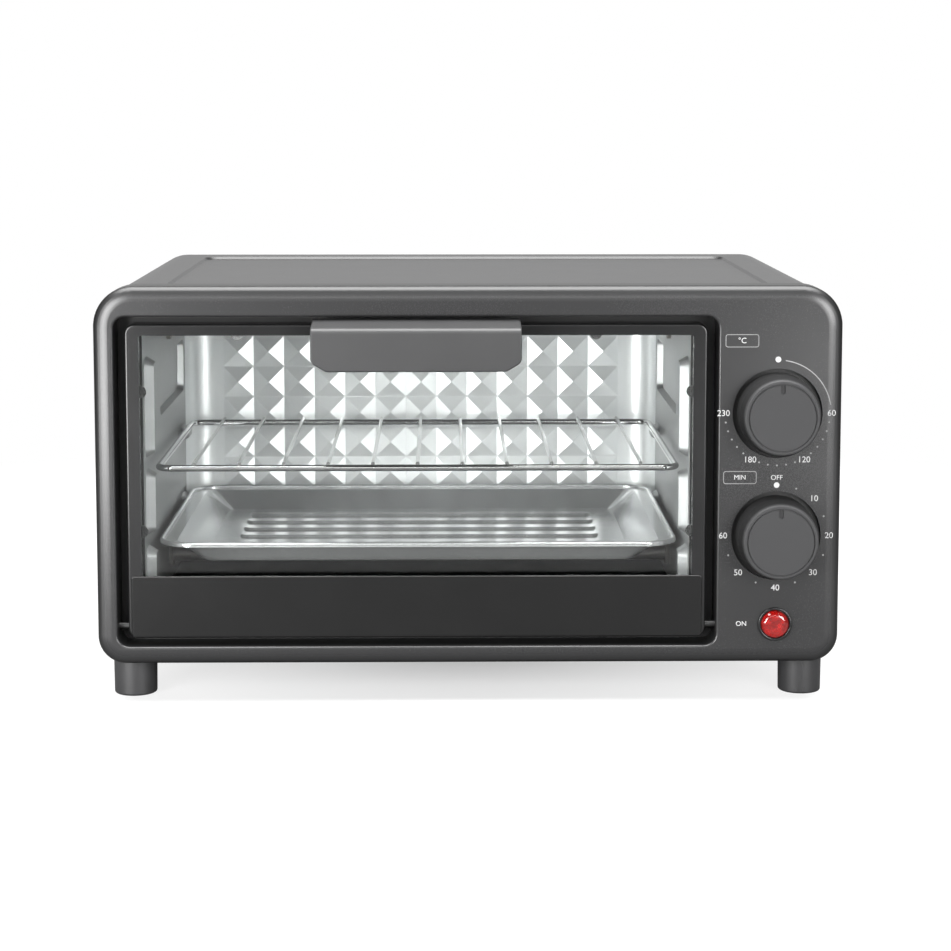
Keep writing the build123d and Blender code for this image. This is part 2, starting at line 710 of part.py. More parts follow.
with BuildPart() as reflector_back_wall:
    with BuildSketch(Plane.XY.offset(CAVITY_LOW)) as plan:
        bounded(
            DOOR_X - CAVITY_HALF - SHEET,
            DOOR_X + CAVITY_HALF + SHEET,
            at(CORNER_START),
            at(CAVITY_BACK + SHEET),
        )
        fillet(plan.vertices().group_by(Axis.Y)[-1], CORNER_R + SHEET)
    extrude(amount=CAVITY_H)
    with BuildSketch(Plane.XY.offset(CAVITY_LOW)) as hollow:
        bounded(
            DOOR_X - CAVITY_HALF,
            DOOR_X + CAVITY_HALF,
            at(CORNER_START),
            at(CAVITY_BACK),
        )
        fillet(hollow.vertices().group_by(Axis.Y)[-1], CORNER_R - SLIP)
    extrude(amount=CAVITY_H, mode=Mode.SUBTRACT)
    with Locations((DOOR_X, 0, CAVITY_LOW + CAVITY_H / 2 + PYRAMID_LIFT)):
        with GridLocations(PYRAMID_PITCH, 0, PYRAMID_COLUMNS, 1):
            for row in range(PYRAMID_ROWS):
                with Locations((0, 0, PYRAMID_PITCH * (row - (PYRAMID_ROWS - 1) / 2))):
                    add(pyramid.part)
save(reflector_back_wall.part, "reflector_back_wall")

# Heating elements: a straight tube at the top and one at the bottom, in ceramic bushes
for name, z in zip(("lower_heater", "upper_heater"), HEATER_ZS):
    tube_half = CAVITY_HALF + SHEET + HEATER_END
    with BuildPart() as heater:
        with BuildSketch(Plane.YZ.offset(DOOR_X - tube_half)):
            with Locations((at(HEATER_DEPTH), z)):
                Circle(HEATER_D / 2)
        extrude(amount=2 * tube_half)
        fillet(heater.edges().filter_by(GeomType.CIRCLE), HEATER_ROUND)
        with BuildSketch(Plane.YZ.offset(DOOR_X - tube_half - HEATER_PIN_L)):
            with Locations((at(HEATER_DEPTH), z)):
                Circle(HEATER_PIN_D / 2)
        extrude(amount=2 * (tube_half + HEATER_PIN_L))
    save(heater.part, name)

with BuildPart() as heater_bushes:
    for side in SIDES.values():
        wall_x = DOOR_X + side * CAVITY_HALF
        with BuildSketch(Plane.YZ.offset(wall_x + side * SHEET)):
            with Locations(*[(at(HEATER_DEPTH), z) for z in HEATER_ZS]):
                Circle(BUSH_FLANGE_D / 2)
        extrude(amount=side * BUSH_FLANGE_T)
        with BuildSketch(Plane.YZ.offset(wall_x - side * BUSH_LIP_T)):
            with Locations(*[(at(HEATER_DEPTH), z) for z in HEATER_ZS]):
                Circle(BUSH_D / 2)
        extrude(amount=side * (BUSH_LIP_T + BUSH_L))
        with BuildSketch(Plane.YZ.offset(wall_x - side * BUSH_LIP_T)):
            with Locations(*[(at(HEATER_DEPTH), z) for z in HEATER_ZS]):
                Circle(HEATER_D / 2 + BUSH_FIT)
        extrude(amount=side * (BUSH_LIP_T + BUSH_L), mode=Mode.SUBTRACT)
save(heater_bushes.part, "heater_bushes")

# Thermostat and timer: boxes behind the front frame, with a neck that guides each shaft
for name, z, width, height, thick in (
    ("thermostat", TEMPERATURE_Z, THERMOSTAT_W, THERMOSTAT_H, THERMOSTAT_D),
    ("timer", TIMER_Z, TIMER_W, TIMER_H, TIMER_D),
):
    with BuildPart() as control:
        with BuildSketch(facing(FRAME_BACK + thick)):
            with Locations((CONTROL_X, z)):
                RectangleRounded(width, height, CONTROL_R)
        extrude(amount=thick)
        with BuildSketch(facing(FRAME_BACK)):
            with Locations((CONTROL_X, z)):
                Circle(NECK_D / 2)
        extrude(amount=NECK_L)
        with BuildSketch(facing(FRAME_BACK + thick + TAB_L)):
            with Locations((CONTROL_X, z)):
                with GridLocations(0, TAB_PITCH + TAB_W, 1, 2):
                    Rectangle(TAB_T, TAB_W)
        extrude(amount=TAB_L)
        with BuildSketch(facing(FRAME_BACK + SHAFT_IN_CONTROL + SLIP)):
            with Locations((CONTROL_X, z)):
                Circle(SHAFT_D / 2 + SHAFT_RUN)
        extrude(amount=SHAFT_IN_CONTROL + SLIP + NECK_L, mode=Mode.SUBTRACT)
        with BuildSketch(facing(FRAME_BACK + SCREW_GRIP + SLIP)):
            with Locations((CONTROL_X, z)):
                with GridLocations(0, CONTROL_SCREW_PITCH, 1, 2):
                    Circle(SCREW_D / 2)
        extrude(amount=SCREW_GRIP + SLIP, mode=Mode.SUBTRACT)
    save(control.part, name)

# Timer bell: a domed gong on a post behind the timer
with BuildPart() as timer_bell:
    bell_mouth = FRAME_BACK + TIMER_D + BELL_POST_L
    with BuildSketch(facing(bell_mouth)):
        with Locations((CONTROL_X, TIMER_Z)):
            Circle(BELL_POST_D / 2)
    extrude(amount=BELL_POST_L)
    with BuildSketch(facing(bell_mouth + BELL_H)):
        with Locations((CONTROL_X, TIMER_Z)):
            Circle(BELL_D / 2)
    extrude(amount=BELL_H)
    fillet(timer_bell.faces().sort_by(Axis.Y)[-1].edges(), BELL_H / 2)
    with BuildSketch(facing(bell_mouth + BELL_H - BELL_WALL)):
        with Locations((CONTROL_X, TIMER_Z)):
            Circle(BELL_D / 2 - 2 * BELL_WALL)
            Circle(BELL_POST_D / 2, mode=Mode.SUBTRACT)
    extrude(amount=BELL_H - BELL_WALL, mode=Mode.SUBTRACT)
save(timer_bell.part, "timer_bell")

# Control screws: hold the thermostat and the timer against the front frame
with BuildPart() as control_screws:
    with BuildSketch(facing(FASCIA_D)):
        with Locations(*[(CONTROL_X, z) for z in DIAL_ZS]):
            with GridLocations(0, CONTROL_SCREW_PITCH, 1, 2):
                Circle(SCREW_HEAD_D / 2)
    extrude(amount=SCREW_HEAD_H)
    with BuildSketch(facing(FRAME_BACK + SCREW_GRIP)):
        with Locations(*[(CONTROL_X, z) for z in DIAL_ZS]):
            with GridLocations(0, CONTROL_SCREW_PITCH, 1, 2):
                Circle(SCREW_D / 2 - SLIP / 2)
    extrude(amount=FRAME_T + SCREW_GRIP)
save(control_screws.part, "control_screws")

# Knobs and their shafts: hollow caps with a sloped shoulder, a ring groove and a notch
for name, shaft_name, z in (
    ("temperature_knob", "thermostat_shaft", TEMPERATURE_Z),
    ("timer_knob", "timer_shaft", TIMER_Z),
):
    knob_back = WELL_DEPTH - KNOB_CLEAR
    with BuildPart() as knob:
        with BuildSketch(facing(knob_back)):
            with Locations((CONTROL_X, z)):
                Circle(KNOB_D / 2)
        extrude(amount=knob_back + KNOB_SHOULDER)
        with BuildSketch(facing(-KNOB_SHOULDER)):
            with Locations((CONTROL_X, z)):
                Circle(KNOB_D / 2)
        with BuildSketch(facing(-KNOB_REACH)):
            with Locations((CONTROL_X, z)):
                Circle(KNOB_FACE_D / 2)
        loft()
        fillet(knob.faces().sort_by(Axis.Y)[0].edges(), KNOB_ROUND)
        with BuildSketch(facing(knob_back)):
            with Locations((CONTROL_X, z)):
                Circle(KNOB_FACE_D / 2 - KNOB_WALL)
                Circle(KNOB_BOSS_D / 2, mode=Mode.SUBTRACT)
        extrude(amount=knob_back + KNOB_REACH - KNOB_WALL, mode=Mode.SUBTRACT)
        with BuildSketch(facing(-KNOB_REACH)):
            with Locations((CONTROL_X, z)):
                Circle(KNOB_GROOVE_D / 2)
                Circle(KNOB_GROOVE_D / 2 - KNOB_GROOVE_W, mode=Mode.SUBTRACT)
        extrude(amount=-KNOB_GROOVE_DEPTH, mode=Mode.SUBTRACT)
        with BuildSketch(facing(-KNOB_REACH)):
            with Locations((CONTROL_X, z + KNOB_GROOVE_D / 2 - KNOB_NOTCH_L / 2)):
                SlotOverall(KNOB_NOTCH_L, KNOB_NOTCH_W, rotation=90)
        extrude(amount=-KNOB_NOTCH_DEPTH, mode=Mode.SUBTRACT)
        with BuildSketch(facing(knob_back)):
            with Locations((CONTROL_X, z)):
                Circle(SHAFT_D / 2 + SHAFT_RUN)
            with Locations((CONTROL_X, z + SHAFT_D - SHAFT_FLAT + SHAFT_RUN)):
                Rectangle(SHAFT_D, SHAFT_D, mode=Mode.SUBTRACT)
        extrude(amount=knob_back + SHAFT_IN_KNOB + SLIP, mode=Mode.SUBTRACT)
    save(knob.part, name)

    with BuildPart() as shaft:
        with BuildSketch(facing(FRAME_BACK + SHAFT_IN_CONTROL)):
            with Locations((CONTROL_X, z)):
                Circle(SHAFT_D / 2)
        extrude(amount=FRAME_BACK + SHAFT_IN_CONTROL - knob_back)
        with BuildSketch(facing(knob_back)):
            with Locations((CONTROL_X, z)):
                Circle(SHAFT_D / 2)
            with Locations((CONTROL_X, z + SHAFT_D - SHAFT_FLAT)):
                Rectangle(SHAFT_D, SHAFT_D, mode=Mode.SUBTRACT)
        extrude(amount=knob_back + SHAFT_IN_KNOB)
    save(shaft.part, shaft_name)

# Indicator: a red domed lens in a thin bezel, with a neon lamp in its shank
with BuildPart() as indicator_lens:
    with BuildSketch(facing(LENS_SHANK_L)):
        with Locations((CONTROL_X, LAMP_Z)):
            Circle(LENS_SHANK_D / 2)
    extrude(amount=LENS_SHANK_L)
    with BuildSketch(facing(0)):
        with Locations((CONTROL_X, LAMP_Z)):
            Circle(LENS_D / 2)
    extrude(amount=LENS_DOME)
    fillet(indicator_lens.faces().sort_by(Axis.Y)[0].edges(), LENS_DOME - BEZEL_T / 2)
    with BuildSketch(facing(LENS_SHANK_L)):
        with Locations((CONTROL_X, LAMP_Z)):
            Circle(LENS_BORE_D / 2)
    extrude(amount=LENS_SHANK_L, mode=Mode.SUBTRACT)
save(indicator_lens.part, "indicator_lens")

with BuildPart() as indicator_bezel:
    with BuildSketch(facing(0)):
        with Locations((CONTROL_X, LAMP_Z)):
            Circle(BEZEL_D / 2)
            Circle(LENS_D / 2 + SLIP, mode=Mode.SUBTRACT)
    extrude(amount=BEZEL_T)
    fillet(indicator_bezel.faces().sort_by(Axis.Y)[0].edges(), BEZEL_T / 3)
save(indicator_bezel.part, "indicator_bezel")

with BuildPart() as indicator_lamp:
    with BuildSketch(facing(LENS_SHANK_L)):
        with Locations((CONTROL_X, LAMP_Z)):
            Circle(LAMP_D / 2)
    extrude(amount=LENS_SHANK_L - SLIP)
    fillet(indicator_lamp.faces().sort_by(Axis.Y)[0].edges(), LAMP_D / 3)
    with BuildSketch(facing(LENS_SHANK_L + LAMP_CAP_T)):
        with Locations((CONTROL_X, LAMP_Z)):
            Circle(LENS_SHANK_D / 2 + LAMP_CAP_REACH)
    extrude(amount=LAMP_CAP_T)
save(indicator_lamp.part, "indicator_lamp")

# Cord gland: an empty flanged bush in the rear panel
with BuildPart() as cord_gland:
    with BuildSketch(facing(BODY_D)):
        with Locations((CONTROL_X, FOOT_H + GLAND_UP)):
            Circle(GLAND_FLANGE_D / 2)
    extrude(amount=-GLAND_PROUD, taper=EMBOSS_SLOPE / 3)
    with BuildSketch(facing(BODY_D)):
        with Locations((CONTROL_X, FOOT_H + GLAND_UP)):
            Circle(GLAND_D / 2)
    extrude(amount=SHEET + GLAND_IN)
    with BuildSketch(facing(BODY_D + GLAND_PROUD)):
        with Locations((CONTROL_X, FOOT_H + GLAND_UP)):
            Circle(GLAND_BORE / 2)
    extrude(amount=GLAND_PROUD + SHEET + GLAND_IN, mode=Mode.SUBTRACT)
save(cord_gland.part, "cord_gland")

# Terminal block: on the base panel below the gland
with BuildPart() as terminal_block:
    with BuildSketch(Plane.XY.offset(BASE_Z + SHEET)):
        with Locations((CONTROL_X, at(BODY_D - BLOCK_BACK))):
            RectangleRounded(BLOCK_W, BLOCK_D, CONTROL_R)
    extrude(amount=BLOCK_H)
    with BuildSketch(Plane.XY.offset(BASE_Z + SHEET + BLOCK_H)):
        with Locations((CONTROL_X, at(BODY_D - BLOCK_BACK))):
            with GridLocations(BLOCK_W / BLOCK_WAYS, 0, BLOCK_WAYS, 1):
                Circle(BLOCK_SCREW_D / 2)
    extrude(amount=-BLOCK_SCREW_DEPTH, mode=Mode.SUBTRACT)
save(terminal_block.part, "terminal_block")

# Hinge pins: pressed into the fascia, running in the door's lower corners
for side_name, side in SIDES.items():
    with BuildPart() as hinge_pin:
        pin_root = DOOR_X + side * (RECESS_W / 2 + FASCIA_WALL)
        with BuildSketch(Plane.YZ.offset(pin_root)):
            with Locations((at(HINGE_DEPTH), HINGE_Z)):
                Circle(PIN_D / 2)
        extrude(amount=-side * (FASCIA_WALL + DOOR_SIDE_GAP + PIN_IN_DOOR))
    save(hinge_pin.part, f"hinge_pin_{side_name}")

# Places of the glass clips: two on each stile and two on the top rail, each with its screw
CLIP_SIDE_L = CLIP_SHOW + STILE - CLIP_EDGE
CLIP_TOP_L = CLIP_SHOW + TOP_RAIL - CLIP_EDGE
CLIP_ZS = [DOOR_LOW + CLIP_LOW_UP + CLIP_PITCH * row for row in range(2)]
CLIP_SPOTS = [
    (DOOR_X + side * (DOOR_HALF - CLIP_EDGE - CLIP_SIDE_L / 2), z, CLIP_SIDE_L, 0.0)
    for side in SIDES.values()
    for z in CLIP_ZS
] + [
    (DOOR_X + side * CLIP_TOP_PITCH / 2, DOOR_HIGH - CLIP_EDGE - CLIP_TOP_L / 2, CLIP_TOP_L, 90.0)
    for side in SIDES.values()
]
CLIP_SCREW_SPOTS = [
    (DOOR_X + side * (DOOR_HALF - CLIP_EDGE - CLIP_SCREW_EDGE), z)
    for side in SIDES.values()
    for z in CLIP_ZS
] + [
    (DOOR_X + side * CLIP_TOP_PITCH / 2, DOOR_HIGH - CLIP_EDGE - CLIP_SCREW_EDGE)
    for side in SIDES.values()
]

# Door frame: a moulded frame, rebated behind for the glass and hollow behind the apron
with BuildPart() as door_frame:
    with BuildSketch(facing(DOOR_BACK)):
        bounded(DOOR_X - DOOR_HALF, DOOR_X + DOOR_HALF, DOOR_LOW, DOOR_HIGH, DOOR_R)
    extrude(amount=DOOR_T)
    fillet(door_frame.faces().sort_by(Axis.Y)[0].edges(), DOOR_ROUND)
    with BuildSketch(facing(DOOR_BACK)):
        bounded(
            DOOR_X - WINDOW_HALF,
            DOOR_X + WINDOW_HALF,
            WINDOW_LOW,
            WINDOW_HIGH,
            DOOR_ROUND,
        )
    extrude(amount=DOOR_T, mode=Mode.SUBTRACT)
    with BuildSketch(facing(DOOR_BACK)):
        bounded(
            DOOR_X - GLASS_HALF - SLIP,
            DOOR_X + GLASS_HALF + SLIP,
            GLASS_LOW - SLIP,
            GLASS_HIGH + SLIP,
        )
    extrude(amount=DOOR_T - GLASS_FRONT, mode=Mode.SUBTRACT)
    with BuildSketch(facing(DOOR_BACK)):
        bounded(
            DOOR_X - DOOR_HALF + 2 * PIN_IN_DOOR,
            DOOR_X + DOOR_HALF - 2 * PIN_IN_DOOR,
            DOOR_LOW + RAIL_WALL,
            GLASS_LOW - SLIP - RAIL_WALL,
        )
    extrude(amount=DOOR_T - RAIL_WALL - APRON_PIN_L, mode=Mode.SUBTRACT)
    with BuildSketch(facing(GLASS_FACE)):
        bounded(
            DOOR_X - HANDLE_W / 2 + STILE,
            DOOR_X + HANDLE_W / 2 - STILE,
            WINDOW_HIGH - HANDLE_TAB_H,
            WINDOW_HIGH,
        )
    extrude(amount=GLASS_FRONT)
    with BuildSketch(facing(GLASS_FACE)):
        with Locations((DOOR_X, HANDLE_SCREW_Z)):
            with GridLocations(HANDLE_PITCH, 0, 2, 1):
                Circle(HANDLE_HEAD_D / 2 + SLIP)
    extrude(amount=HANDLE_HEAD_H + SLIP, mode=Mode.SUBTRACT)
    with BuildSketch(facing(GLASS_FACE)):
        with Locations((DOOR_X, HANDLE_SCREW_Z)):
            with GridLocations(HANDLE_PITCH, 0, 2, 1):
                Circle(HANDLE_SCREW_D / 2 + SLIP)
    extrude(amount=GLASS_FRONT, mode=Mode.SUBTRACT)
    with BuildSketch(facing(DOOR_BACK)):
        for x, z, length, turn in CLIP_SPOTS:
            with Locations((x, z)):
                SlotOverall(length + 2 * SLIP, CLIP_W + 2 * SLIP, rotation=turn)
    extrude(amount=DOOR_BACK - GLASS_BACK, mode=Mode.SUBTRACT)
    with BuildSketch(facing(GLASS_BACK)):
        with Locations(*CLIP_SCREW_SPOTS):
            Circle(CLIP_SCREW_D / 2)
    extrude(amount=CLIP_SCREW_L + SLIP, mode=Mode.SUBTRACT)
    with BuildSketch(facing(DOOR_SET)):
        with Locations((DOOR_X, (APRON_LOW + WINDOW_LOW) / 2)):
            with GridLocations(APRON_PIN_PITCH, 0, 3, 1):
                Circle(APRON_PIN_D / 2 + SLIP / 2)
    extrude(amount=-APRON_PIN_L - SLIP, mode=Mode.SUBTRACT)
    with BuildSketch(facing(DOOR_BACK)):
        with Locations(*[(DOOR_X + side * ARM_OUT, HINGE_Z + ARM_R) for side in SIDES.values()]):
            Rectangle(ARM_T + 2 * PIN_RUN, ARM_W + 2 * ARM_SLOT_CLEAR)
    extrude(amount=ARM_TANG, mode=Mode.SUBTRACT)
    for side in SIDES.values():
        with BuildSketch(Plane.YZ.offset(DOOR_X + side * DOOR_HALF)):
            with Locations((at(HINGE_DEPTH), HINGE_Z)):
                Circle(PIN_D / 2 + PIN_RUN)
        extrude(amount=-side * (PIN_IN_DOOR + SLIP), mode=Mode.SUBTRACT)
save(door_frame.part, "door_frame")

# Door glass
with BuildPart() as door_glass:
    with BuildSketch(facing(GLASS_BACK)):
        bounded(DOOR_X - GLASS_HALF, DOOR_X + GLASS_HALF, GLASS_LOW, GLASS_HIGH)
    extrude(amount=GLASS_T)
save(door_glass.part, "door_glass")

# Glass clips and their screws: small tabs that hold the glass in its rebate
with BuildPart() as glass_clips:
    with BuildSketch(facing(GLASS_BACK + CLIP_T)):
        for x, z, length, turn in CLIP_SPOTS:
            with Locations((x, z)):
                SlotOverall(length, CLIP_W, rotation=turn)
        with Locations(*CLIP_SCREW_SPOTS):
            Circle(CLIP_SCREW_D / 2 + SLIP / 2, mode=Mode.SUBTRACT)
    extrude(amount=CLIP_T)
save(glass_clips.part, "glass_clips")

with BuildPart() as clip_screws:
    with BuildSketch(facing(GLASS_BACK + CLIP_T + CLIP_HEAD_H)):
        with Locations(*CLIP_SCREW_SPOTS):
            Circle(CLIP_HEAD_D / 2)
    extrude(amount=CLIP_HEAD_H)
    with BuildSketch(facing(GLASS_BACK + CLIP_T)):
        with Locations(*CLIP_SCREW_SPOTS):
            Circle(CLIP_SCREW_D / 2)
    extrude(amount=CLIP_T + CLIP_SCREW_L)
save(clip_screws.part, "clip_screws")

# Door apron: the plain panel across the lower part of the door, on three pins
with BuildPart() as door_apron:
    with BuildSketch(facing(DOOR_SET)):
        bounded(
            DOOR_X - DOOR_HALF + APRON_SIDE,
            DOOR_X + DOOR_HALF - APRON_SIDE,
            APRON_LOW,
            APRON_HIGH,
            DOOR_ROUND,
        )
    extrude(amount=APRON_T)
    fillet(door_apron.faces().sort_by(Axis.Y)[0].edges(), APRON_ROUND)
    with BuildSketch(facing(DOOR_SET)):
        with Locations((DOOR_X, (APRON_LOW + WINDOW_LOW) / 2)):
            with GridLocations(APRON_PIN_PITCH, 0, 3, 1):
                Circle(APRON_PIN_D / 2)
    extrude(amount=-APRON_PIN_L)
save(door_apron.part, "door_apron")

# Door handle: a sloped top, a hanging front lip and a foot that is screwed to the door
with BuildPart() as door_handle:
    with BuildSketch(Plane.YZ.offset(DOOR_X - HANDLE_W / 2)) as profile:
        with BuildLine():
            Polyline(
                (at(DOOR_SET), HANDLE_TOP),
                (at(-HANDLE_REACH), HANDLE_TOP - HANDLE_FALL),
                (at(-HANDLE_REACH), HANDLE_LOW),
                (at(HANDLE_LIP_T - HANDLE_REACH), HANDLE_LOW),
                (at(HANDLE_LIP_T - HANDLE_REACH), HANDLE_TOP - HANDLE_FALL - HANDLE_WEB),
                (at(DOOR_SET - HANDLE_FOOT_T), HANDLE_TOP - HANDLE_WEB),
                (at(DOOR_SET - HANDLE_FOOT_T), WINDOW_HIGH - HANDLE_TAB_H),
                (at(DOOR_SET), WINDOW_HIGH - HANDLE_TAB_H),
                close=True,
            )
        make_face()
        front_top = profile.vertices().group_by(Axis.X)[0].sort_by(Axis.Y)[-1]
        fillet(front_top, HANDLE_ROUND)
    extrude(amount=HANDLE_W)
    with BuildSketch(facing(DOOR_SET)) as lip:
        with BuildLine():
            Polyline(
                (DOOR_X - HANDLE_W / 2, HANDLE_TOP),
                (DOOR_X - HANDLE_W / 2, HANDLE_LOW + HANDLE_CUT_H),
                (DOOR_X - HANDLE_W / 2 + HANDLE_CUT_W, HANDLE_LOW),
                (DOOR_X + HANDLE_W / 2 - HANDLE_CUT_W, HANDLE_LOW),
                (DOOR_X + HANDLE_W / 2, HANDLE_LOW + HANDLE_CUT_H),
                (DOOR_X + HANDLE_W / 2, HANDLE_TOP),
                close=True,
            )
        make_face()
        fillet(lip.vertices().group_by(Axis.Y)[0] + lip.vertices().group_by(Axis.Y)[1], HANDLE_CORNER)
    extrude(amount=DOOR_SET + HANDLE_REACH, mode=Mode.INTERSECT)
    fillet(door_handle.faces().sort_by(Axis.Y)[0].edges().group_by(Axis.Z)[0], HANDLE_EDGE)
    with BuildSketch(facing(DOOR_SET)):
        with Locations((DOOR_X, HANDLE_SCREW_Z)):
            with GridLocations(HANDLE_PITCH, 0, 2, 1):
                Circle(HANDLE_SCREW_D / 2)
    extrude(amount=HANDLE_FOOT_T - SHEET, mode=Mode.SUBTRACT)
save(door_handle.part, "door_handle")

with BuildPart() as handle_screws:
    with BuildSketch(facing(GLASS_FACE)):
        with Locations((DOOR_X, HANDLE_SCREW_Z)):
            with GridLocations(HANDLE_PITCH, 0, 2, 1):
                Circle(HANDLE_HEAD_D / 2)
    extrude(amount=HANDLE_HEAD_H)
    with BuildSketch(facing(GLASS_FACE)):
        with Locations((DOOR_X, HANDLE_SCREW_Z)):
            with GridLocations(HANDLE_PITCH, 0, 2, 1):
                Circle(HANDLE_SCREW_D / 2)
    extrude(amount=HANDLE_SCREW_L)
save(handle_screws.part, "handle_screws")

# Door stays: bent arms that leave the door and pass through the front frame
for side_name, side in SIDES.items():
    stay_curve = CenterArc(
        (at(HINGE_DEPTH), HINGE_Z),
        ARM_R,
        ARM_END,
        ARM_SWEEP,
    )
    with BuildPart() as door_stay:
        with BuildSketch(Plane.YZ.offset(DOOR_X + side * ARM_OUT - ARM_T / 2)):
            SlotArc(stay_curve, ARM_W)
        extrude(amount=ARM_T)
    save(door_stay.part, f"door_stay_{side_name}")

# Wire rack: a bent frame with straight wires welded on top of it
with BuildPart() as wire_rack:
    frame_loop = loop(
        RACK_Z,
        RACK_FRONT + RACK_WIRE_R,
        RACK_W - RACK_FRAME_D,
        RACK_L - RACK_FRAME_D,
        RACK_BEND_R,
    )
    with BuildSketch(Plane(origin=frame_loop @ 0, z_dir=frame_loop % 0)):
        Circle(RACK_WIRE_R)
    sweep(path=frame_loop)
    with BuildSketch(facing(RACK_FRONT + RACK_L - RACK_WIRE_R)):
        with Locations((DOOR_X, RACK_Z + RACK_WIRE_R + RACK_WIRE_D / 2 - RACK_WELD)):
            with GridLocations(RACK_PITCH, 0, RACK_WIRES, 1):
                Circle(RACK_WIRE_D / 2)
    extrude(amount=RACK_L - 2 * RACK_WIRE_R)
save(wire_rack.part, "wire_rack")

# Baking tray: a pressed tray with sloped sides, a rolled rim and long beads in its floor
with BuildPart() as baking_tray:
    tray_place = (DOOR_X, at(TRAY_FRONT + TRAY_L / 2))
    mouth = (TRAY_W - 2 * TRAY_RIM, TRAY_L - 2 * TRAY_RIM, TRAY_R - TRAY_RIM)
    floor = (mouth[0] - 2 * TRAY_SIDE_SLOPE, mouth[1] - 2 * TRAY_END_SLOPE, TRAY_FLOOR_R)
    with BuildSketch(Plane.XY.offset(TRAY_Z)):
        with Locations(tray_place):
            RectangleRounded(TRAY_W, TRAY_L, TRAY_R)
    extrude(amount=TRAY_T)
    with BuildSketch(Plane.XY.offset(TRAY_Z)):
        with Locations(tray_place):
            RectangleRounded(mouth[0] + 2 * TRAY_T, mouth[1] + 2 * TRAY_T, mouth[2] + TRAY_T)
    with BuildSketch(Plane.XY.offset(TRAY_Z - TRAY_DEPTH)):
        with Locations(tray_place):
            RectangleRounded(*floor)
    loft(ruled=True)
    with BuildSketch(Plane.XY.offset(TRAY_Z + TRAY_T)):
        with Locations(tray_place):
            RectangleRounded(*mouth)
    with BuildSketch(Plane.XY.offset(TRAY_Z + TRAY_T - TRAY_DEPTH)):
        with Locations(tray_place):
            RectangleRounded(floor[0] - 2 * TRAY_T, floor[1] - 2 * TRAY_T, floor[2] - TRAY_T)
    loft(ruled=True, mode=Mode.SUBTRACT)
    with BuildSketch(Plane.XY.offset(TRAY_Z + TRAY_T - TRAY_DEPTH)):
        with Locations(tray_place):
            with GridLocations(0, BEAD_PITCH, 1, BEAD_COUNT):
                SlotOverall(BEAD_L, BEAD_W)
    extrude(amount=BEAD_H, taper=RIDGE_SLOPE)
    with BuildSketch(Plane.XY.offset(TRAY_Z - TRAY_DEPTH)):
        with Locations(tray_place):
            with GridLocations(0, BEAD_PITCH, 1, BEAD_COUNT):
                SlotOverall(BEAD_L - 2 * TRAY_T, BEAD_W - 2 * TRAY_T)
    extrude(amount=BEAD_H, taper=RIDGE_SLOPE, mode=Mode.SUBTRACT)
    roll_r = TRAY_ROLL_D / 2
    rim_loop = loop(
        TRAY_Z + roll_r,
        TRAY_FRONT + roll_r,
        TRAY_W - TRAY_ROLL_D,
        TRAY_L - TRAY_ROLL_D,
        TRAY_R - roll_r,
    )
    with BuildSketch(Plane(origin=rim_loop @ 0, z_dir=rim_loop % 0)):
        Circle(roll_r)
    sweep(path=rim_loop)
save(baking_tray.part, "baking_tray")
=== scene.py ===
from math import cos, radians, sin

import bpy
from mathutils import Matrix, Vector


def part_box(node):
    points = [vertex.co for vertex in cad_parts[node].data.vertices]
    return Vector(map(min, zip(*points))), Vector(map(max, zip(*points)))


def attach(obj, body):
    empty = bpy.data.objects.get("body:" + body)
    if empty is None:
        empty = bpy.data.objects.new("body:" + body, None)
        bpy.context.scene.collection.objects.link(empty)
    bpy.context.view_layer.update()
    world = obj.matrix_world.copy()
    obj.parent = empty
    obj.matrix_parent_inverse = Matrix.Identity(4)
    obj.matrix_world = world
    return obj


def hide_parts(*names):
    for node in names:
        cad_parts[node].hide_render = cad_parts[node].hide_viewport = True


bl_info = {
    "name": "Table Oven Dresser",
    "version": (1, 0, 0),
    "blender": (4, 5, 0),
    "location": "View3D > Sidebar > Oven",
    "description": "Finishes, dial print and studio for a table-top oven",
    "category": "Object",
}

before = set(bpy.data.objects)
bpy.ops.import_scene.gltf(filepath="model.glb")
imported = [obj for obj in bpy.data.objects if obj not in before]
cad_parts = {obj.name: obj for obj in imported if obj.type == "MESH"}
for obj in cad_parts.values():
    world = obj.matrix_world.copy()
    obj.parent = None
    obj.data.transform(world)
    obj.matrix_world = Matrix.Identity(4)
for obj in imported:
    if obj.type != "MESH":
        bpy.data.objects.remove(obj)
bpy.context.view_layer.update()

FACE_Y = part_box("front_fascia")[0][1]
KNOB_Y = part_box("timer_knob")[0][1]

WHITE = (1.0, 1.0, 1.0, 1.0)
EVEN = (1.0, 1.0, 1.0)

# Dial print: lengths in metres, angles in degrees clockwise from the top
MARK_R = 0.0014
ARC_R = 0.0265
ARC_LINE = 0.00045
ARC_START = 8
ARC_SWEEP = 73
WORD_SHARE = 0.8

# Temperature dial: each number with its angle, and the gaps that hold minor dots
WARM_NUMBERS = ((60, 90), (120, 150), (180, 210), (230, 270))
WARM_GAPS = (90, 150, 210)
WARM_DOTS = 5
WARM_DOT_STEP = 10
WARM_DOT_RING = 0.972
DEGREE_SHARE = 0.9

# Timer dial: a number of minutes at each step
CLOCK_NUMBERS = 6
CLOCK_MINUTES = 10
CLOCK_STEP = 45
CLOCK_RING = 0.985
CLOCK_MARK_R = 0.0255
CLOCK_OFF_R = 0.0292
CLOCK_DOT_R = 0.0256
MIN_SHARE = 0.78

# Outlined labels and the lamp's word, placed from the middle of their dial or lamp
LABEL_W = 0.0165
LABEL_H = 0.0064
LABEL_LINE = 0.00028
LABEL_CORNER = 0.18
WARM_LABEL = (-0.0179, 0.0361)
CLOCK_LABEL = (-0.0183, 0.0293)
LAMP_WORD = -0.0168

